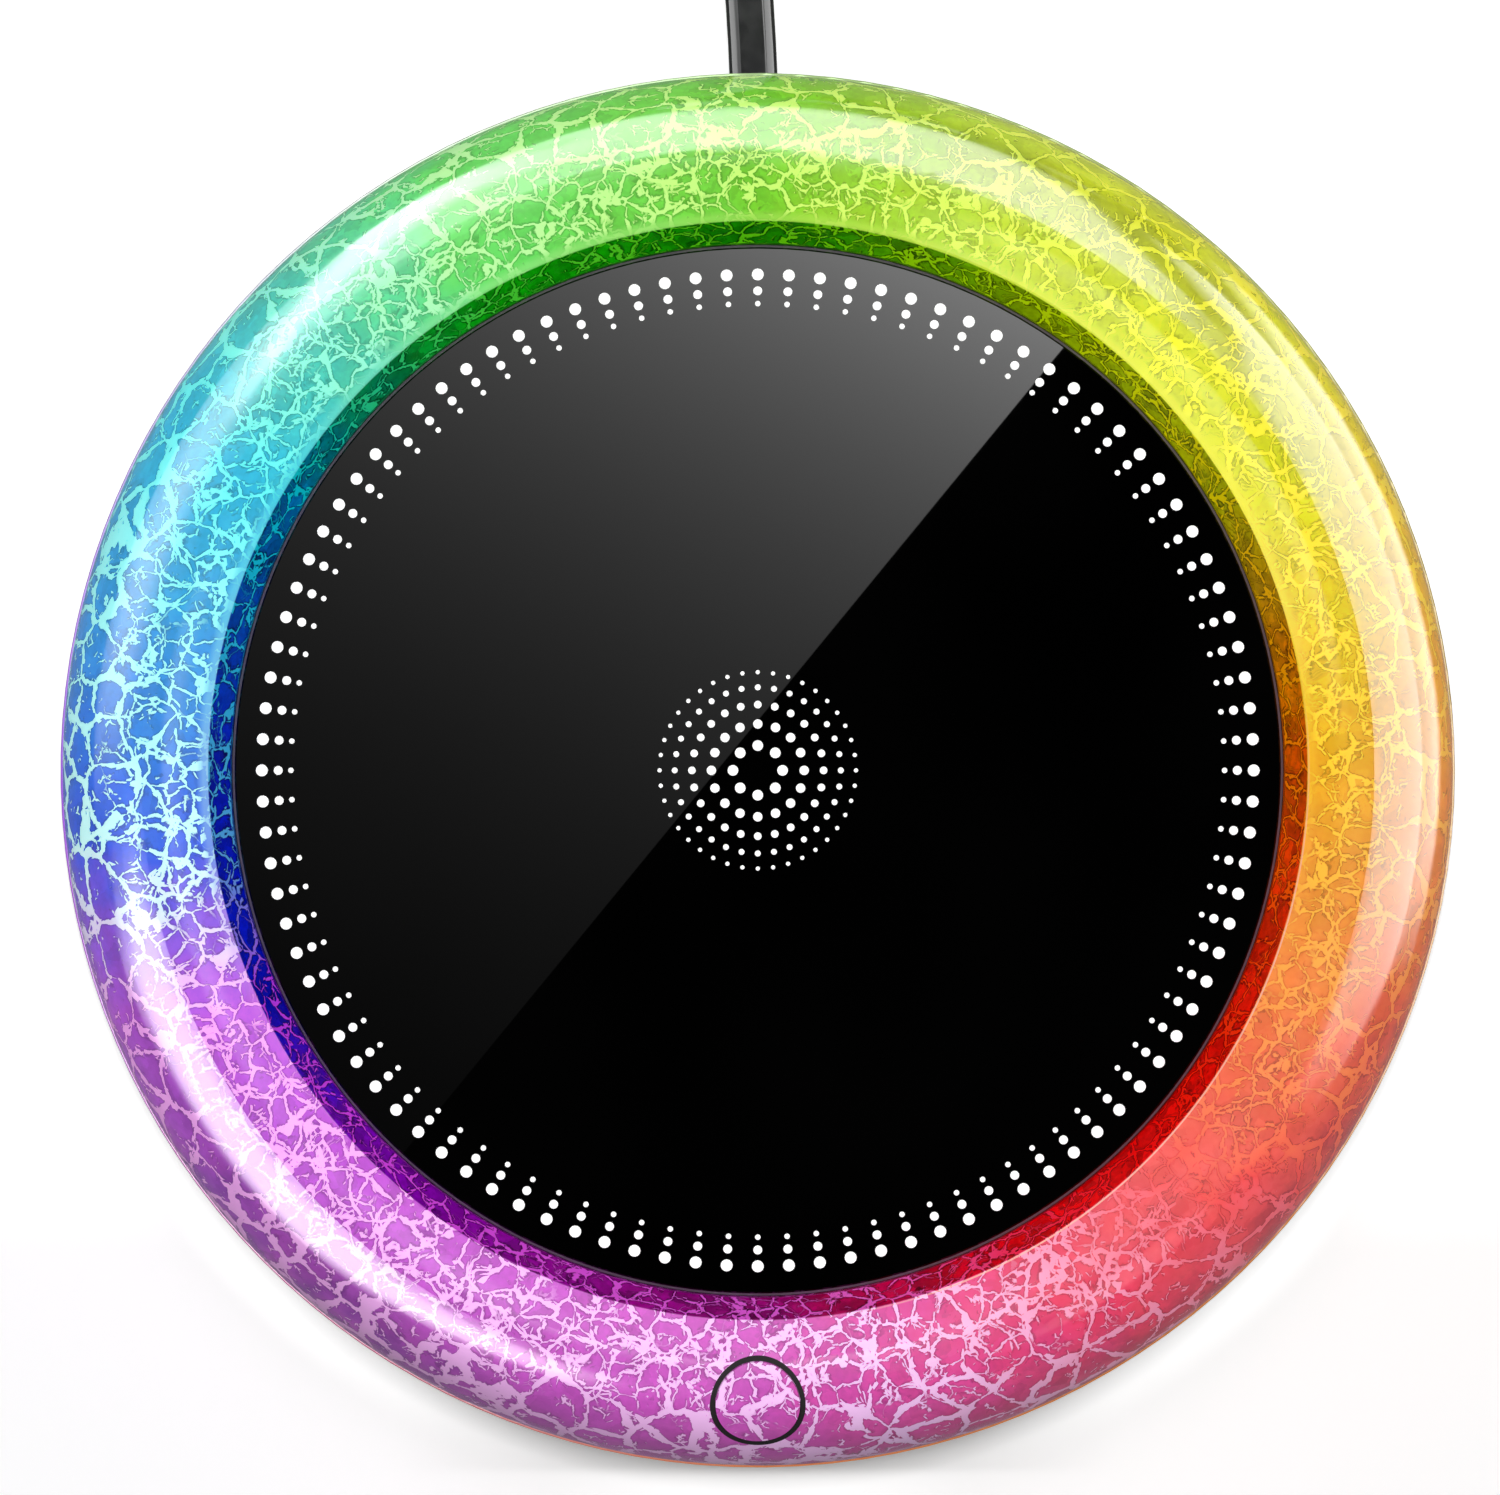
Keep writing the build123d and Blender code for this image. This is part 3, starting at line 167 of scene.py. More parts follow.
def make_lead():
    """The flat lead lies wide side up, stands on edge in the coil, and lies down again before the plug."""
    line = lead_line()
    along = [0.0]
    for before, after in zip(line, line[1:]):
        along.append(along[-1] + (after - before).length)
    total = along[-1]
    section = lead_section()
    shape = bmesh.new()
    loops = []
    for k, place in enumerate(line):
        heading = (line[min(k + 1, len(line) - 1)] - line[max(k - 1, 0)]).normalized()
        side = heading.cross(Vector((0, 0, 1))).normalized()
        lift = side.cross(heading).normalized()
        twist = smooth_step(along[k], 0.046, 0.082) - smooth_step(along[k], total - 0.066, total - 0.022)
        turn = math.radians(90) * twist
        wide = side * math.cos(turn) + lift * math.sin(turn)
        thick = lift * math.cos(turn) - side * math.sin(turn)
        loops.append([shape.verts.new(place + wide * p.x + thick * p.y) for p in section])
    count = len(section)
    for first, second in zip(loops, loops[1:]):
        for k in range(count):
            shape.faces.new((first[k], first[(k + 1) % count], second[(k + 1) % count], second[k]))
    for end in (loops[0], list(reversed(loops[-1]))):
        for edge in shape.faces.new(end).edges:
            edge.smooth = False
    bmesh.ops.recalc_face_normals(shape, faces=shape.faces)
    data = bpy.data.meshes.new("lead")
    shape.to_mesh(data)
    shape.free()
    for face in data.polygons:
        face.use_smooth = len(face.vertices) == 4
    lead = bpy.data.objects.new("lead", data)
    bpy.context.scene.collection.objects.link(lead)
    return lead, [list(point) for point in line]


# Finishes

def shade(code):
    """Linear colour of a hexadecimal one."""
    values = [int(code[k:k + 2], 16) / 255 for k in (1, 3, 5)]
    return [v / 12.92 if v <= 0.04045 else ((v + 0.055) / 1.055) ** 2.4 for v in values] + [1.0]


class Nodes:
    """Short ways to add nodes to a tree."""

    def __init__(self, tree):
        self.tree = tree

    def add(self, kind, **settings):
        node = self.tree.nodes.new(kind)
        for name, value in settings.items():
            setattr(node, name, value)
        return node

    def feed(self, node, values):
        """Numbers and colours typed on a node's sockets, or other nodes linked to them."""
        for name, value in values.items():
            if isinstance(value, bpy.types.NodeSocket):
                self.tree.links.new(value, node.inputs[name])
            else:
                node.inputs[name].default_value = value

    def math(self, operation, *values):
        node = self.add("ShaderNodeMath", operation=operation)
        self.feed(node, dict(enumerate(values)))
        return node.outputs[0]

    def times(self, first, *others):
        """Values multiplied together."""
        product = first
        for value in others:
            product = self.math("MULTIPLY", product, value)
        return product

    def vector(self, operation, *values):
        node = self.add("ShaderNodeVectorMath", operation=operation)
        self.feed(node, dict(enumerate(values)))
        return node.outputs[1] if operation == "LENGTH" else node.outputs[0]

    def split(self, vector):
        node = self.add("ShaderNodeSeparateXYZ")
        self.feed(node, {0: vector})
        return node.outputs[0], node.outputs[1], node.outputs[2]

    def join(self, x, y, z):
        node = self.add("ShaderNodeCombineXYZ")
        self.feed(node, {0: x, 1: y, 2: z})
        return node.outputs[0]

    def span(self, value, low, high, new_low=0.0, new_high=1.0, smooth=False):
        """A value's range stretched to a new range and held at its ends."""
        node = self.add("ShaderNodeMapRange", interpolation_type="SMOOTHSTEP" if smooth else "LINEAR")
        self.feed(node, {0: value, 1: low, 2: high, 3: new_low, 4: new_high})
        return node.outputs[0]

    def window(self, value, low, rise, fall, high, peak=1.0, smooth=False):
        """Nothing below a value's low end, up to the peak, and down to nothing at its high end."""
        up = self.span(value, low, rise, 0.0, peak, smooth)
        return self.times(up, self.span(value, fall, high, 1.0, 0.0, smooth))

    def choose(self, share, first, second):
        node = self.add("ShaderNodeMix")
        self.feed(node, {0: share, 2: first, 3: second})
        return node.outputs[0]


class Finish(Nodes):
    """A material with one shader and the nodes that feed it."""

    def __init__(self, name, roughness=0.5, metallic=0.0):
        self.material = bpy.data.materials.new(name)
        self.material.use_nodes = True
        super().__init__(self.material.node_tree)
        self.tree.nodes.clear()
        self.shader = self.add("ShaderNodeBsdfPrincipled")
        self.set(Roughness=roughness, Metallic=metallic)
        self.feed(self.add("ShaderNodeOutputMaterial"), {"Surface": self.shader.outputs["BSDF"]})
        self.place = self.add("ShaderNodeTexCoord").outputs["Object"]

    def set(self, **values):
        """Numbers and colours straight on the shader's sockets, or nodes linked to them."""
        self.feed(self.shader, {name.replace("_", " "): value for name, value in values.items()})

    def plan(self):
        """The place seen from above: across, back, and out from the warmer's axis."""
        x, y, _ = self.split(self.place)
        return x, y, self.vector("LENGTH", self.join(x, y, 0.0))

    def noise(self, scale, detail=3.0, roughness=0.55, vector=None, colour=False):
        node = self.add("ShaderNodeTexNoise")
        place = vector or self.place
        self.feed(node, {"Vector": place, "Scale": scale, "Detail": detail, "Roughness": roughness})
        return node.outputs["Color" if colour else "Fac"]

    def cells(self, scale, vector, edge=False, colour=False):
        node = self.add("ShaderNodeTexVoronoi", feature="DISTANCE_TO_EDGE" if edge else "F1")
        self.feed(node, {"Vector": vector, "Scale": scale})
        return node.outputs["Color" if colour else "Distance"]

    def ramp(self, value, stops):
        """Colours along a value, from pairs of place and colour."""
        node = self.add("ShaderNodeValToRGB")
        self.feed(node, {0: value})
        elements = node.color_ramp.elements
        for place, colour in stops[1:-1]:
            elements.new(place).color = colour
        ends = sorted(elements, key=lambda e: e.position)
        ends[0].position, ends[0].color = stops[0][0], stops[0][1]
        ends[-1].position, ends[-1].color = stops[-1][0], stops[-1][1]
        return node.outputs[0]

    def mix(self, share, first, second, blend="MIX"):
        node = self.add("ShaderNodeMix", data_type="RGBA", blend_type=blend)
        self.feed(node, {0: share, 6: first, 7: second})
        return node.outputs[2]

    def dimmed(self, colour, share):
        """A colour multiplied by one share in all its channels."""
        return self.mix(1.0, colour, self.join(share, share, share), "MULTIPLY")

    def painted_deep_shade(self, colour, power):
        """A colour with painted shade, as on the wall: darker and stronger."""
        gamma = self.add("ShaderNodeGamma")
        self.feed(gamma, {0: colour, 1: power})
        return gamma.outputs[0]

    def bump(self, height, depth, strength=1.0):
        node = self.add("ShaderNodeBump")
        self.feed(node, {"Height": height, "Distance": depth, "Strength": strength})
        self.set(Normal=node.outputs[0])

    def mottle(self, dark, light, scale, detail=3.0):
        """Base colour that drifts between two near tones."""
        tone = self.ramp(self.noise(scale, detail), [(0.3, shade(dark)), (0.7, shade(light))])
        self.set(Base_Color=tone)


def moulded(name, dark, light, roughness=0.45, grain=2500, depth=0.00002):
    """Injection-moulded plastic with a fine spark texture."""
    finish = Finish(name, roughness)
    finish.mottle(dark, light, 120)
    sparks = finish.noise(grain, 2)
    finish.set(Roughness=finish.span(sparks, 0.3, 0.7, roughness - 0.06, roughness + 0.08))
    finish.bump(sparks, depth, 0.5)
    return finish.material


def rubbery(name, dark, light, roughness=0.6, wipe=200):
    """Soft rubber or silicone, slightly dusty in patches."""
    finish = Finish(name, roughness)
    finish.mottle(dark, light, wipe, 5)
    finish.set(Roughness=finish.span(finish.noise(wipe * 2), 0.3, 0.7, roughness - 0.08, roughness + 0.1))
    finish.bump(finish.noise(4000, 2), 0.00001, 0.4)
    return finish.material


def rolled_metal(name, dark, light, roughness=0.3, stretch=(60, 3000, 3000)):
    """Sheet or turned metal with fine lines along one direction."""
    finish = Finish(name, roughness, 1.0)
    lines = finish.noise(1, 4, 0.6, finish.vector("MULTIPLY", finish.place, stretch))
    finish.set(Base_Color=finish.ramp(lines, [(0.35, shade(dark)), (0.65, shade(light))]))
    finish.set(Roughness=finish.span(lines, 0.3, 0.7, roughness - 0.08, roughness + 0.1))
    finish.bump(lines, 0.000004, 0.4)
    return finish.material


def circuit_board(name, mask, track):
    """Solder mask over copper tracks that run square to each other."""
    finish = Finish(name, 0.35)
    x, y, _ = finish.split(finish.place)
    lanes_x = finish.math("PINGPONG", finish.times(x, 420), 1.0)
    lanes_y = finish.math("PINGPONG", finish.times(y, 420), 1.0)
    zone = finish.math("GREATER_THAN", finish.noise(160, 0), 0.5)
    other_zone = finish.math("SUBTRACT", 1.0, zone)
    lanes = finish.math("ADD", finish.times(lanes_x, zone), finish.times(lanes_y, other_zone))
    tracks = finish.span(lanes, 0.52, 0.58)
    finish.set(Base_Color=finish.mix(tracks, shade(mask), shade(track)), Coat_Weight=0.3)
    finish.bump(tracks, 0.00003, 0.5)
    return finish.material


def needled_felt(name, dark, light):
    finish = Finish(name, 0.95)
    fibres = finish.noise(900, 6, 0.7, finish.vector("MULTIPLY", finish.place, (1, 4, 1)))
    finish.set(Base_Color=finish.ramp(fibres, [(0.3, shade(dark)), (0.7, shade(light))]), Sheen_Weight=0.3)
    finish.bump(fibres, 0.0002, 0.6)
    return finish.material


def heater_film(name):
    """Amber film with the dark etched heating track showing through."""
    finish = Finish(name, 0.3)
    radius = finish.plan()[2]
    track = finish.span(finish.math("PINGPONG", finish.times(radius, 450), 1.0), 0.4, 0.5)
    finish.set(Base_Color=finish.mix(track, shade("#C8812C"), shade("#5A3315")), Coat_Weight=0.5)
    finish.bump(track, 0.00003, 0.5)
    return finish.material


def black_glass():
    """Polished black glass with a narrow ground edge, lighter, rougher and mauve-grey: ground glass with a
    painted reflection of the ring in its colour.
    """
    finish = Finish("plate_glass")
    radius = finish.plan()[2]
    ground_edge_reflection = finish.span(radius, PLATE_RADIUS - 0.00024, PLATE_RADIUS - 0.0002)
    face = finish.ramp(finish.noise(40, 1), [(0.3, shade("#010101")), (0.7, shade("#040404"))])
    # The edge's mauve-grey is partly a painted reflection of the ring
    finish.set(Base_Color=finish.mix(ground_edge_reflection, face, shade("#6A5E6C")))
    finish.set(Roughness=finish.span(ground_edge_reflection, 0.0, 1.0, 0.006, 0.4))
    return finish.material


def white_ink_painted_glow():
    finish = Finish("white_ink_painted_glow", 0.5)
    finish.mottle("#F6F6F4", "#FFFFFF", 900)
    # The ink glows a little: painted light
    finish.set(Emission_Color=shade("#FFFFFF"), Emission_Strength=0.3)
    finish.bump(finish.noise(6000, 1), 0.000005, 0.3)
    return finish.material


def button_seal():
    """Matt black seal round the button."""
    finish = Finish("gasket_black", 0.8)
    finish.mottle("#050304", "#0A0608", 900)
    finish.set(Specular_IOR_Level=0.15)
    finish.bump(finish.noise(5000, 2), 0.000008, 0.3)
    return finish.material


def lead_sheath():
    """Smooth black sheath of the flat lead."""
    finish = Finish("lead_sheath", 0.12)
    finish.mottle("#262628", "#2E2E30", 300)
    finish.set(Roughness=finish.span(finish.noise(700, 3), 0.3, 0.7, 0.08, 0.12))
    finish.bump(finish.noise(3500, 2), 0.000006, 0.3)
    return finish.material


# Named hues round the light ring, by the hour they stand at: the cells, then the cracks between them
CELL_HUES = [
    ("lime", 0, "#77CC33"), ("chartreuse", 1, "#CCDD33"), ("yellow", 2, "#DDDD11"), ("amber", 3, "#EEAA22"),
    ("vermilion", 4, "#EE6644"), ("red", 5, "#EE4466"), ("orchid", 6, "#CC55BB"), ("violet", 8.2, "#BB55DD"),
    ("blue", 8.7, "#3355DD"), ("cyan", 10, "#33BBDD"), ("green", 11, "#66DD66"), ("lime", 12, "#77CC33"),
]
CRACK_HUES = [
    ("pale lime", 0, "#CCFF77"), ("lemon", 1.5, "#FFFF33"), ("gold", 3, "#FFCC33"), ("coral", 4.5, "#FF5555"),
    ("pale pink", 5.6, "#FFCCFF"), ("pale violet", 8.2, "#FFAAFF"), ("ice blue", 8.7, "#CCFFFF"),
    ("pale cyan", 10, "#66FFFF"), ("pale green", 11, "#BBFFAA"), ("pale lime", 12, "#CCFF77"),
]


def by_clock(hues):
    """Stops of a ramp that runs once round the clock, from named hues."""
    return [(hour / 12, shade(code)) for _, hour, code in hues]


def clock_share(finish, drift, drop=0.0):
    """Share of a turn clockwise from the back. A ragged drift keeps a tone from ending on a straight line."""
    x, y, _ = finish.split(finish.place)
    turn = finish.math("ARCTAN2", x, finish.math("SUBTRACT", y, drop))
    wander = finish.times(finish.math("SUBTRACT", finish.noise(220, 3), 0.5), drift)
    return finish.math("FRACT", finish.math("ADD", finish.math("DIVIDE", turn, 2 * math.pi), wander))


def shifted(finish, vector, source, reach):
    """A place moved by up to half the reach, by the colour of a pattern."""
    offset = finish.vector("SUBTRACT", source, (0.5, 0.5, 0.5))
    return finish.vector("ADD", vector, finish.vector("MULTIPLY", offset, (reach, reach, reach)))


def jagged_place(finish):
    """The place, shifted about so that cells get uneven edges."""
    warped = shifted(finish, finish.place, finish.noise(240, 2, colour=True), 0.0022)
    rough = shifted(finish, warped, finish.noise(1000, 3, 0.6, colour=True), 0.0006)
    return shifted(finish, rough, finish.cells(1050, finish.place, colour=True), 0.00042)


def crack_network(finish, place, scale, width):
    """Cracks between cells, and the thin shadow along them. The width is half a crack, in cells."""
    gap = finish.math("SUBTRACT", finish.cells(scale, place, edge=True), width)
    present = finish.span(width, 0.004, 0.014)
    crack = finish.times(present, finish.span(gap, 0.0, 0.00005 * scale, 1.0, 0.0))
    shadow = finish.times(present, finish.span(gap, 0.00004 * scale, 0.0002 * scale, 1.0, 0.0))
    return crack, shadow


def crack_widths(finish, radius, y, top):
    """Half widths of the coarse cracks, which thicken outwards, of the slim ones, and of short spurs."""
    outwards = finish.span(radius, 0.0525, 0.0615)
    swell = finish.span(finish.noise(300, 1), 0.35, 0.65, 0.3, 1.25)
    front = finish.times(outwards, finish.span(y, -0.056, -0.03, 0.018, 0.0))
    coarse = finish.times(swell, finish.math("ADD", front, finish.span(outwards, 0.0, 1.0, 0.008, 0.062)))
    slim = finish.times(finish.span(outwards, 0.3, 1.0, 0.048, 0.0),
                        finish.span(finish.noise(520, 1), 0.35, 0.62, 0.35, 1.3),
                        finish.span(top, 0.0, 1.0, 0.8, 1.0))
    spurs = finish.times(finish.span(finish.noise(620, 2), 0.55, 0.68, 0.0, 0.05),
                         finish.span(top, 0.0, 1.0, 0.4, 1.0))
    return coarse, slim, spurs


CRACK_SCALES = (225, 400, 760)  # cells to a metre: coarse, slim, spurs


def crack_lines(finish, place, radius, y, top):
    """All cracks together, and the shadow along them."""
    crack, shadow = 0.0, 0.0
    for scale, width in zip(CRACK_SCALES, crack_widths(finish, radius, y, top)):
        lines, edge = crack_network(finish, place, scale, width)
        crack = finish.math("MAXIMUM", lines, crack)
        shadow = finish.math("MAXIMUM", edge, shadow)
    return crack, shadow


def cell_tone(finish, place, shadow):
    """How light each cell is, with a fine grain and the shadow along its cracks."""
    own = finish.span(finish.split(finish.cells(430, place, colour=True))[0], 0.0, 1.0, 0.90, 1.12)
    grain = finish.span(finish.noise(1400, 3), 0.3, 0.7, 0.92, 1.06)
    return finish.times(own, grain, finish.span(shadow, 0.0, 1.0, 1.0, 0.58))


# Painted shade in patches: a name, the share of a turn where each stretch begins and ends, and its dark
# colour
PAINTED_SHADE_PATCHES = [("wine", 0.30, 0.47, "#8E2C44"), ("indigo", 0.54, 0.69, "#4A2A96")]


def with_painted_shade(finish, cell, radius, share):
    """Mottled patches of painted shade in the cells near the outer edge, along two stretches of the ring."""
    patches = finish.span(finish.noise(170, 2), 0.40, 0.58, 0.0, 0.4)
    patch_shade = finish.times(finish.span(radius, 0.0596, 0.0632), patches)
    for _, low, high, colour in PAINTED_SHADE_PATCHES:
        reach = finish.window(share, low, low + 0.05, high - 0.05, high)
        cell = finish.mix(finish.times(patch_shade, reach), cell, shade(colour))
    return cell


def painted_face_light(finish, radius, share, y, crack):
    """Painted light and shade on the ring's face: darker down its outer side at the front and a little
    lighter there at the back, less dark from the right round to the front, and painted darker where the
    highlights lie.
    """
    # Painted shade down the outer side at the front, and painted light there at the back
    painted_dusk = finish.times(finish.span(radius, 0.0590, 0.0640), finish.span(y, -0.055, -0.010, 0.52, -0.1))
    glare = finish.window(share, 0.28, 0.33, 0.41, 0.47)
    painted_dusk = finish.times(painted_dusk, finish.span(glare, 0.0, 1.0, 1.0, 0.42))
    lit_right = finish.window(share, 0.0, 0.05, 0.29, 0.33, peak=0.34)
    lit_left = finish.window(share, 0.56, 0.60, 0.70, 0.73, peak=0.2)
    # Painted shade under the highlights, less on the cracks
    painted_veil = finish.times(finish.window(radius, 0.0566, 0.0578, 0.0616, 0.0632, smooth=True),
                        finish.math("MAXIMUM", lit_right, lit_left),
                        finish.span(crack, 0.0, 1.0, 1.0, 0.45))
    return finish.math("SUBTRACT", finish.math("SUBTRACT", 1.0, painted_dusk), painted_veil)


RING_GLOW = 0.42


def crackle_ring():
    """Clear gloss over a rainbow crackle: fine near the plate, coarse and thick at the outer edge."""
    finish = Finish("crackle_ring")
    x, y, radius = finish.plan()
    top = finish.span(radius, RIM_RADIUS - 0.0001, RIM_RADIUS)
    drop = finish.times(finish.span(radius, 0.0560, 0.0650), finish.span(x, -0.03, 0.03, 0.004, 0.015))
    share = clock_share(finish, 0.03, drop)
    early = finish.window(share, 0.57, 0.65, 0.70, 0.75, peak=0.04)
    body = finish.ramp(share, by_clock(CELL_HUES))
    deep_body = finish.ramp(finish.math("ADD", share, early), by_clock(CELL_HUES))
    bright = finish.ramp(share, by_clock(CRACK_HUES))

    place = jagged_place(finish)
    crack, shadow = crack_lines(finish, place, radius, y, top)
    tone = cell_tone(finish, place, shadow)
    # Patches of painted shade near the outer edge
    cell = with_painted_shade(finish, finish.dimmed(body, tone), radius, share)

    # The face, with a painted highlight along the rim at the back: plain and paler there
    rim = finish.span(radius, RIM_RADIUS + 0.0004, RIM_RADIUS + 0.0010, 1.0, 0.0)
    painted_rim_highlight = finish.times(rim, finish.span(y, -0.03, 0.0), 0.8)
    face = finish.mix(painted_rim_highlight, finish.mix(crack, cell, bright), finish.mix(0.3, body, bright))
    # Painted light and shade on the face, by place
    face = finish.dimmed(face, painted_face_light(finish, radius, share, y, crack))

    # The sloped wall inside the rim, with painted shade: colours deepened, and darker towards the back
    deep_cell = finish.painted_deep_shade(finish.dimmed(deep_body, tone), 2.9)
    deep_bright = finish.painted_deep_shade(finish.mix(0.62, finish.mix(0.5, body, deep_body), bright), 2.6)
    wall = finish.dimmed(finish.mix(crack, deep_cell, deep_bright), finish.span(y, -0.045, 0.035, 0.9, 0.74))

    # A thin painted highlight on the rim's edge, from the right round to the front
    edge = finish.times(finish.math("COMPARE", radius, RIM_RADIUS + 0.00007, 0.00007),
                        finish.window(share, 0.22, 0.30, 0.44, 0.48), 0.7)
    colour = finish.mix(edge, finish.mix(top, wall, face), shade("#FFB4A0"))
    finish.set(Base_Color=colour, Emission_Color=colour, Emission_Strength=RING_GLOW)

    gloss = finish.times(finish.span(top, 0.0, 1.0, 0.1, 1.0), finish.span(radius, 0.0530, 0.0568, 0.15, 1.0))
    finish.set(Coat_Weight=finish.times(gloss, 0.6), Coat_Roughness=0.06)
    finish.set(Specular_IOR_Level=finish.times(gloss, 0.5))
    finish.set(Roughness=finish.span(finish.noise(150, 2), 0.3, 0.7, 0.13, 0.2))
    return finish.material


# Named hues of the lip under the light ring
LIP_HUES = [
    ("sage", 0, "#AACC88"), ("ochre", 3, "#AA8844"), ("apricot", 6, "#DD8855"),
    ("violet", 9, "#9955CC"), ("sage", 12, "#AACC88"),
]


def glow_lip():
    finish = Finish("glow_lip", 0.2)
    tone = finish.ramp(clock_share(finish, 0.01), by_clock(LIP_HUES))
    finish.set(Base_Color=tone, Emission_Color=tone, Emission_Strength=0.5, Coat_Weight=0.4)
    finish.bump(finish.noise(300, 2), 0.00001, 0.3)
    return finish.material


def make_finishes():
    """One finish for each of the part's material slots."""
    return {
        "crackle_ring": crackle_ring(),
        "glow_lip": glow_lip(),
        "opal": moulded("opal", "#DEDEDA", "#E8E8E4", 0.6),
        "light_board_white": circuit_board("light_board_white", "#D8DAD8", "#C6C8C6"),
        "light_chip": moulded("light_chip", "#E4DCC0", "#F0E8D0", 0.25),
        "plate_glass": black_glass(),
        "silicone": rubbery("silicone", "#161617", "#1E1E20"),
        "heat_resistant_plastic": moulded("heat_resistant_plastic", "#0C0C0E", "#141416", 0.5),
        "screw_steel": rolled_metal("screw_steel", "#9A9CA0", "#C4C6CA", 0.3, (2600, 2600, 2600)),
        "spreader_aluminium": rolled_metal("spreader_aluminium", "#B4B6BA", "#D6D8DC", 0.35),
        "heater_foil": heater_film("heater_foil"),
        "insulation_felt": needled_felt("insulation_felt", "#C8C4B8", "#E6E2D6"),
        "bead_epoxy": moulded("bead_epoxy", "#3A2818", "#4A3420", 0.2),
        "fuse_case": moulded("fuse_case", "#2A2A2E", "#34343A", 0.3),
        "red_wire": rubbery("red_wire", "#A01410", "#B41C16", 0.4),
        "grey_wire": rubbery("grey_wire", "#8C8E92", "#9C9EA2", 0.4),
        "circuit_board": circuit_board("circuit_board", "#0F4A26", "#1A6A38"),
        "terminal_green": moulded("terminal_green", "#1E6A3A", "#267A46", 0.4),
        "capacitor_yellow": moulded("capacitor_yellow", "#C8A818", "#D8B828", 0.3),
        "capacitor_sleeve": moulded("capacitor_sleeve", "#101220", "#181A2A", 0.25),
        "package_black": moulded("package_black", "#0A0A0B", "#121214", 0.55),
        "connector_white": moulded("connector_white", "#D8D6CA", "#E4E2D8", 0.4),
        "gasket_black": button_seal(),
        "base_black": moulded("base_black", "#0E0E10", "#151517", 0.48, 1800, 0.00004),
        "foot_rubber": rubbery("foot_rubber", "#161616", "#222222", 0.75),
        "lead_black": lead_sheath(),
        "tie_black": moulded("tie_black", "#08080A", "#0E0E10", 0.4),
        "blade_nickel": rolled_metal("blade_nickel", "#BEB8A8", "#DCD6C6", 0.22, (3000, 90, 3000)),
    }


# Print on the glass: rays of three dots round the edge, and rings of dots in the middle

RAY_COUNT = 100
RAY_DOTS = [(45.96, 0.56), (44.44, 0.42), (43.26, 0.26)]
ROSETTE_RINGS = [(2.3, 0.50, 8), (4.3, 0.44, 16), (6.1, 0.36, 24), (7.7, 0.28, 32), (9.1, 0.20, 40)]
INK_HEIGHT = 0.00003


def select_none():
    if bpy.context.object and bpy.context.object.mode != "OBJECT":
        bpy.ops.object.mode_set(mode="OBJECT")
    bpy.ops.object.select_all(action="DESELECT")


def add_dot(distance, radius, count):
    """A round of printed dots: one is pressed out with a softened edge, and the rest are turned copies."""
    select_none()
    bpy.ops.mesh.primitive_cylinder_add(vertices=14, radius=radius * MM, depth=INK_HEIGHT,
                                        location=(0, distance * MM, PLATE_TOP + INK_HEIGHT / 2))
    dot = bpy.context.object
    bpy.ops.object.transform_apply(location=True, rotation=True, scale=True)
    bpy.ops.object.mode_set(mode="EDIT")
    bpy.ops.mesh.select_mode(type="FACE")
    bpy.ops.mesh.select_all(action="DESELECT")
    shape = bmesh.from_edit_mesh(dot.data)
    for face in shape.faces:
        face.select = face.normal.z > 0.9
    bmesh.update_edit_mesh(dot.data)
    bpy.ops.mesh.bevel(offset=INK_HEIGHT * 0.4, segments=1, affect="EDGES")
    bpy.ops.mesh.select_all(action="SELECT")
    bpy.ops.mesh.spin(steps=count - 1, dupli=True, angle=math.radians(360 * (count - 1) / count),
                      center=(0, 0, PLATE_TOP), axis=(0, 0, 1))
    bpy.ops.mesh.select_all(action="SELECT")
    bpy.ops.mesh.normals_make_consistent(inside=False)
    bpy.ops.object.mode_set(mode="OBJECT")
    return dot


def join_as(pieces, name):
    select_none()
    for piece in pieces:
        piece.select_set(True)
    bpy.context.view_layer.objects.active = pieces[0]
    bpy.ops.object.join()
    joined = bpy.context.object
    joined.name = name
    joined.data.name = name
    return joined


def make_print():
    rays = [add_dot(distance, radius, RAY_COUNT) for distance, radius in RAY_DOTS]
    rosette = [add_dot(distance, radius, count) for distance, radius, count in ROSETTE_RINGS]
    return join_as(rays, "printed_rays"), join_as(rosette, "printed_rosette")


# Studio

def stage_card(name, corners, strength):
    """A card that shows in gloss alone, with one face if it is given corners, and otherwise with none yet."""
    data = bpy.data.meshes.new(name)
    if corners:
        data.from_pydata(corners, [], [range(len(corners))])
    card = bpy.data.objects.new(name, data)
    bpy.context.scene.collection.objects.link(card)
    material = bpy.data.materials.new(name)
    material.use_nodes = True
    nodes = Nodes(material.node_tree)
    nodes.tree.nodes.clear()
    light = nodes.add("ShaderNodeEmission")
    nodes.feed(light, {"Strength": strength})
    nodes.feed(nodes.add("ShaderNodeOutputMaterial"), {"Surface": light.outputs[0]})
    data.materials.append(material)
    for kind in ("camera", "diffuse", "glossy", "transmission", "volume_scatter", "shadow"):
        setattr(card, "visible_" + kind, kind == "glossy")
    return card, nodes


def let_through(nodes, share):
    """Where the share falls short of one, the card is clear and shows what stands behind it."""
    blend = nodes.add("ShaderNodeMixShader")
    clear = nodes.add("ShaderNodeBsdfTransparent")
    light = nodes.tree.nodes["Emission"]
    nodes.feed(blend, {0: share, 1: clear.outputs[0], 2: light.outputs[0]})
    nodes.feed(nodes.tree.nodes["Material Output"], {"Surface": blend.outputs[0]})


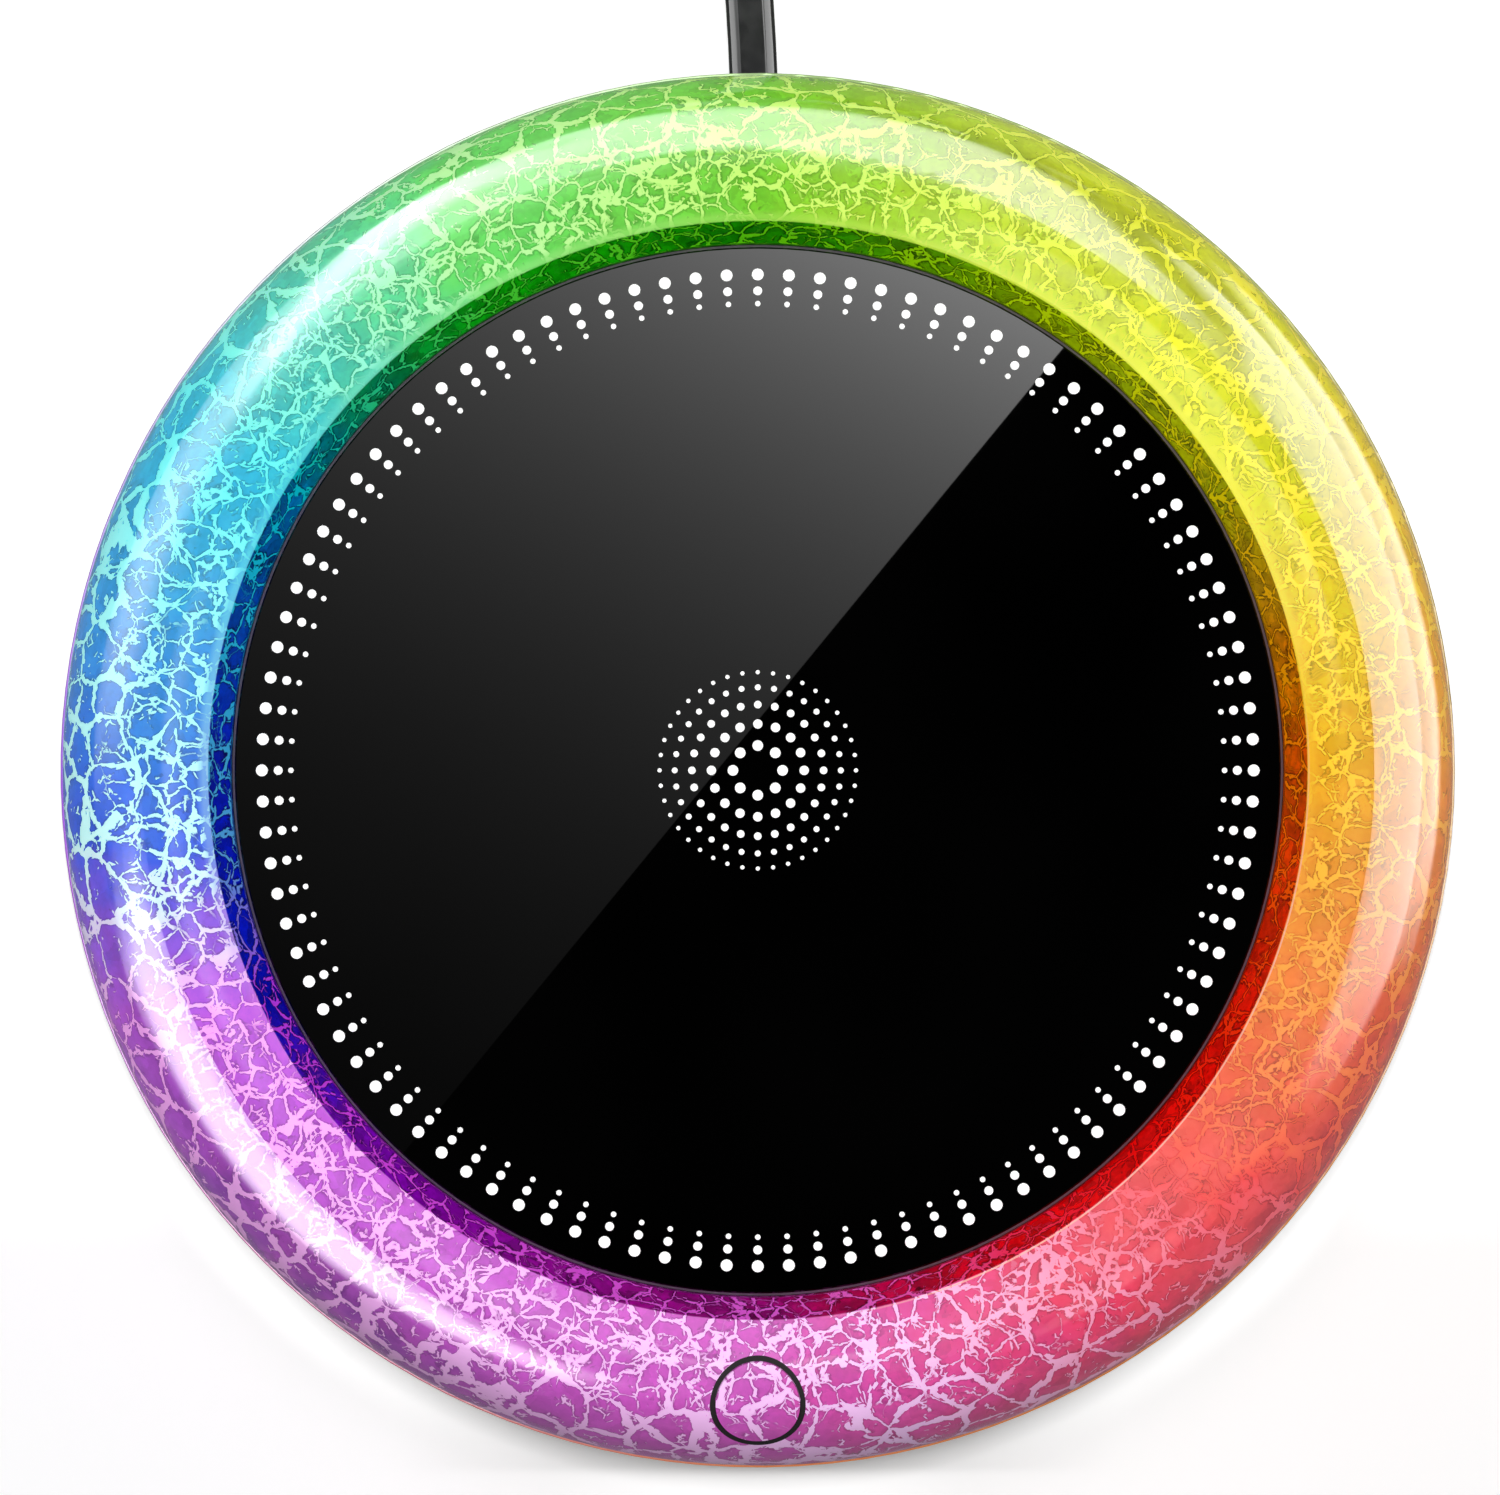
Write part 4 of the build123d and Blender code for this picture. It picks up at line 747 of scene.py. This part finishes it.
def toward(azimuth, elevation, distance=STUDIO_RADIUS):
    """Point in the studio, by the clockwise angle from the back and the height angle."""
    a, e = math.radians(azimuth), math.radians(elevation)
    out = distance * math.cos(e)
    return (out * math.sin(a), out * math.cos(a), distance * math.sin(e))


def near(azimuth, elevation):
    """Like toward, but close to the warmer, in front of the other cards."""
    return toward(azimuth, elevation, NEAR_RADIUS)


def soft_box(name, columns, strength, place=toward, levels=(1.0, 1.0)):
    """A light card with soft edges. Each column is a direction and four heights: the light grows from the
    first to the second, runs to the third and dies at the fourth. It dies at both end columns too."""
    card, nodes = stage_card(name, [], strength)
    shape = bmesh.new()
    glow = shape.verts.layers.float.new("glow")
    grid = []
    for k, (azimuth, *heights) in enumerate(columns):
        grid.append([shape.verts.new(place(azimuth, height)) for height in heights])
        for vertex, level in zip(grid[-1], (0.0, *levels, 0.0)):
            vertex[glow] = level * (0 < k < len(columns) - 1)
    for left, right in zip(grid, grid[1:]):
        for k in range(3):
            shape.faces.new((left[k], right[k], right[k + 1], left[k + 1]))
    shape.to_mesh(card.data)
    shape.free()
    let_through(nodes, nodes.add("ShaderNodeAttribute", attribute_name="glow").outputs["Fac"])


def floor_point(azimuth, reach):
    """Point just above the table, by its clockwise angle and its distance from the axis."""
    a = math.radians(azimuth)
    return (reach * math.sin(a), reach * math.cos(a), 0.0008)


def lead_card():
    """Card at the left of the lead. It shines straight across only, so that the ring doesn't mirror it."""
    left, front, back, low, high = -0.1, 0.05, 0.11, 0.004, 0.17
    corners = [(left, front, low), (left, back, low), (left, back, high), (left, front, high)]
    _, nodes = stage_card("lead_card", corners, 6.5)
    heading = nodes.split(nodes.add("ShaderNodeNewGeometry").outputs["Incoming"])[1]
    let_through(nodes, nodes.span(heading, -0.14, -0.10))


def plate_card():
    """Card over the plate: its straight edge shows across the glass, and it fades towards the front left."""
    height = 0.6
    spread = 1 + (height - PLATE_TOP) / (RING_LEVEL + VIEW_HEIGHT - PLATE_TOP)
    along = Vector((0.6338, 0.7735, 0))
    away = Vector((-0.7735, 0.6338, 0))
    reach = 0.0555 * spread
    corners = []
    for share, out in ((-1, 0.0024), (1, 0.0024), (1, 0.056), (-1, 0.056)):
        point = along * reach * share + away * out * spread
        corners.append((point.x, point.y, height))
    _, nodes = stage_card("plate_card", corners, 1.0)
    x, y, _ = nodes.split(nodes.add("ShaderNodeTexCoord").outputs["Object"])
    across = nodes.times(x, 22.8 / spread)
    back = nodes.times(y, 43.7 / spread)
    power = nodes.math("EXPONENT", nodes.math("ADD", nodes.math("ADD", across, back), -0.364))
    nodes.feed(nodes.tree.nodes["Emission"], {"Strength": nodes.times(power, 0.6)})


def add_lamp(name, width, depth, energy, place):
    data = bpy.data.lights.new(name, "AREA")
    data.shape = "RECTANGLE"
    data.size = width
    data.size_y = depth
    data.energy = energy
    lamp = bpy.data.objects.new(name, data)
    lamp.location = place
    lamp.rotation_euler = Vector(place).to_track_quat("Z", "Y").to_euler()
    lamp.visible_glossy = False
    lamp.visible_camera = False
    bpy.context.scene.collection.objects.link(lamp)


def set_lamps():
    add_lamp("overhead_lamp", 0.05, 0.2, 6.1, (0.0, 0.10, 1.3))
    add_lamp("wide_lamp", 0.8, 0.8, 3.0, (0.0, 0.3, 1.3))


def set_cards():
    soft_box("window_back", [
        (-34, 0, 20, 45, 60), (-24, -5, 8, 62, 73), (0, -4, 10, 66, 76), (20, -6, 8, 70, 79),
        (30, 4, 22, 75, 83), (38, 34, 44, 73, 82), (49, 40, 50, 70, 80)], 7.0, levels=(0.85, 1.0))
    soft_box("window_right", [
        (36, -14, -6, 6, 16), (43, -14, -3, 12, 28), (48, -14, -3, 18, 34), (56, -14, -3, 72, 83),
        (70, -14, -3, 77, 84), (100, -14, -3, 76, 84), (122, 14, 24, 44, 56)], 7.8, levels=(1.0, 0.7))
    soft_box("haze_back_left", [
        (266, 0, 20, 40, 70), (284, -10, 24, 44, 80), (296, -14, 24, 44, 83), (306, -14, 24, 50, 83),
        (316, -10, 18, 62, 83), (330, -8, 8, 72, 82), (350, -6, 8, 66, 78), (362, 10, 24, 56, 70)], 4.6)
    soft_box("streak_back_left", [
        (304, 48, 56, 62, 70), (310, 22, 40, 46, 60), (318, 4, 22, 34, 48), (325, -10, 0, 28, 44),
        (332, -8, 8, 22, 38), (348, 14, 26, 34, 44)], 11.5, near)
    soft_box("haze_front_left", [
        (192, 44, 56, 70, 80), (206, 30, 48, 74, 82), (222, 22, 38, 76, 83), (234, 14, 30, 76, 83),
        (252, -6, 12, 76, 83), (266, 20, 30, 60, 76)], 5.0)
    soft_box("streak_front_left", [
        (194, 54, 60, 64, 72), (204, 38, 50, 60, 74), (210, 32, 44, 58, 74), (216, 20, 38, 56, 72),
        (220, 16, 32, 60, 76), (225, 12, 26, 62, 78), (232, 8, 28, 62, 78), (240, 6, 28, 62, 78),
        (246, 8, 30, 62, 78), (252, 12, 26, 60, 76), (264, 34, 44, 50, 58)], 11.0, near)
    soft_box("wash_front_right", [(132, 54, 60, 74, 82), (146, 50, 58, 76, 84), (160, 54, 60, 74, 82)], 1.4)
    reaches = (0.088, 0.098, 0.80, 0.86)
    soft_box("floor_window", [(azimuth, *reaches) for azimuth in (41, 54, 75, 92, 108)], 4.2, floor_point)
    lead_card()
    plate_card()


def set_world():
    """White to the camera, an even sky for the light, and in gloss a pale horizon under a dark ceiling."""
    world = bpy.data.worlds.new("studio")
    bpy.context.scene.world = world
    world.use_nodes = True
    nodes = Nodes(world.node_tree)
    nodes.tree.nodes.clear()
    rays = nodes.add("ShaderNodeLightPath").outputs
    height = nodes.split(nodes.add("ShaderNodeTexCoord").outputs["Generated"])[2]
    sky = nodes.span(height, 0.05, 0.65, 0.3, 0.0)
    light = nodes.choose(rays["Is Glossy Ray"], 0.12, sky)
    seen = nodes.math("MAXIMUM", rays["Is Camera Ray"], rays["Is Transmission Ray"])
    background = nodes.add("ShaderNodeBackground")
    nodes.feed(background, {"Strength": nodes.choose(seen, light, 1.0)})
    nodes.feed(nodes.add("ShaderNodeOutputWorld"), {"Surface": background.outputs[0]})


def set_floor():
    """Pale floor under the warmer's shadow. To the camera alone it also gives painted light of its own: more
    beside, behind and away from the warmer, where it pales the shadow, and just before the button, and a
    painted shadow close under its front edge."""
    bpy.ops.mesh.primitive_plane_add(size=12, location=(0, 0, 0))
    floor = bpy.context.object
    floor.name = "floor"
    finish = Finish("floor", 0.9)
    rays = finish.add("ShaderNodeLightPath").outputs
    tone = finish.mix(rays["Is Glossy Ray"], shade("#F2F2F2"), shade("#8C8C8C"))
    finish.set(Base_Color=tone, Specular_IOR_Level=0.0, Emission_Color=(1, 1, 1, 1))
    x, y, radius = finish.plan()
    width = finish.math("ABSOLUTE", x)
    # Painted light to the camera beside, behind and far from the warmer
    beside = finish.times(finish.span(width, 0.020, 0.045), finish.span(radius, 0.0655, 0.0700, 1.0, 0.0))
    far = finish.math("MAXIMUM", finish.span(y, -0.095, -0.075, 1.0, 0.0), finish.span(width, 0.075, 0.095))
    behind = finish.math("MAXIMUM", far, finish.span(y, -0.045, -0.025))
    lift = finish.times(finish.math("MAXIMUM", beside, behind), 0.3)
    # Painted shadow close under the front edge
    under = finish.times(finish.span(y, -0.0663, -0.0654, 0.0, -0.14),
                         finish.span(width, 0.016, 0.034, 1.0, 0.0))
    # Painted light just before the button
    painted_light_by_button = finish.times(finish.span(y, -0.0668, -0.0657, 0.14, 0.0),
                          finish.span(width, 0.006, 0.020, 1.0, 0.0),
                          finish.span(y, -0.082, -0.072))
    glow = finish.math("ADD", finish.math("ADD", lift, 0.44), finish.math("ADD", under, painted_light_by_button))
    finish.set(Emission_Strength=finish.times(rays["Is Camera Ray"], glow))
    floor.data.materials.append(finish.material)


def main():
    scene = bpy.context.scene
    scene.view_settings.view_transform = "Standard"
    set_camera()
    finishes = make_finishes()
    for part in frame["record"]["subparts"]:
        for slot in frame["nodes"][part["node"]].material_slots:
            slot.material = finishes[part["material_slot"]]

    lead, line = make_lead()
    lead.data.materials.append(finishes["lead_black"])
    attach(lead, "housing")
    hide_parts("cord_lead", "cord_coil", "cord_tail")

    ink = white_ink_painted_glow()
    for piece in make_print():
        piece.data.materials.clear()
        piece.data.materials.append(ink)
        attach(piece, "housing")

    set_world()
    set_floor()
    set_lamps()
    set_cards()


main()
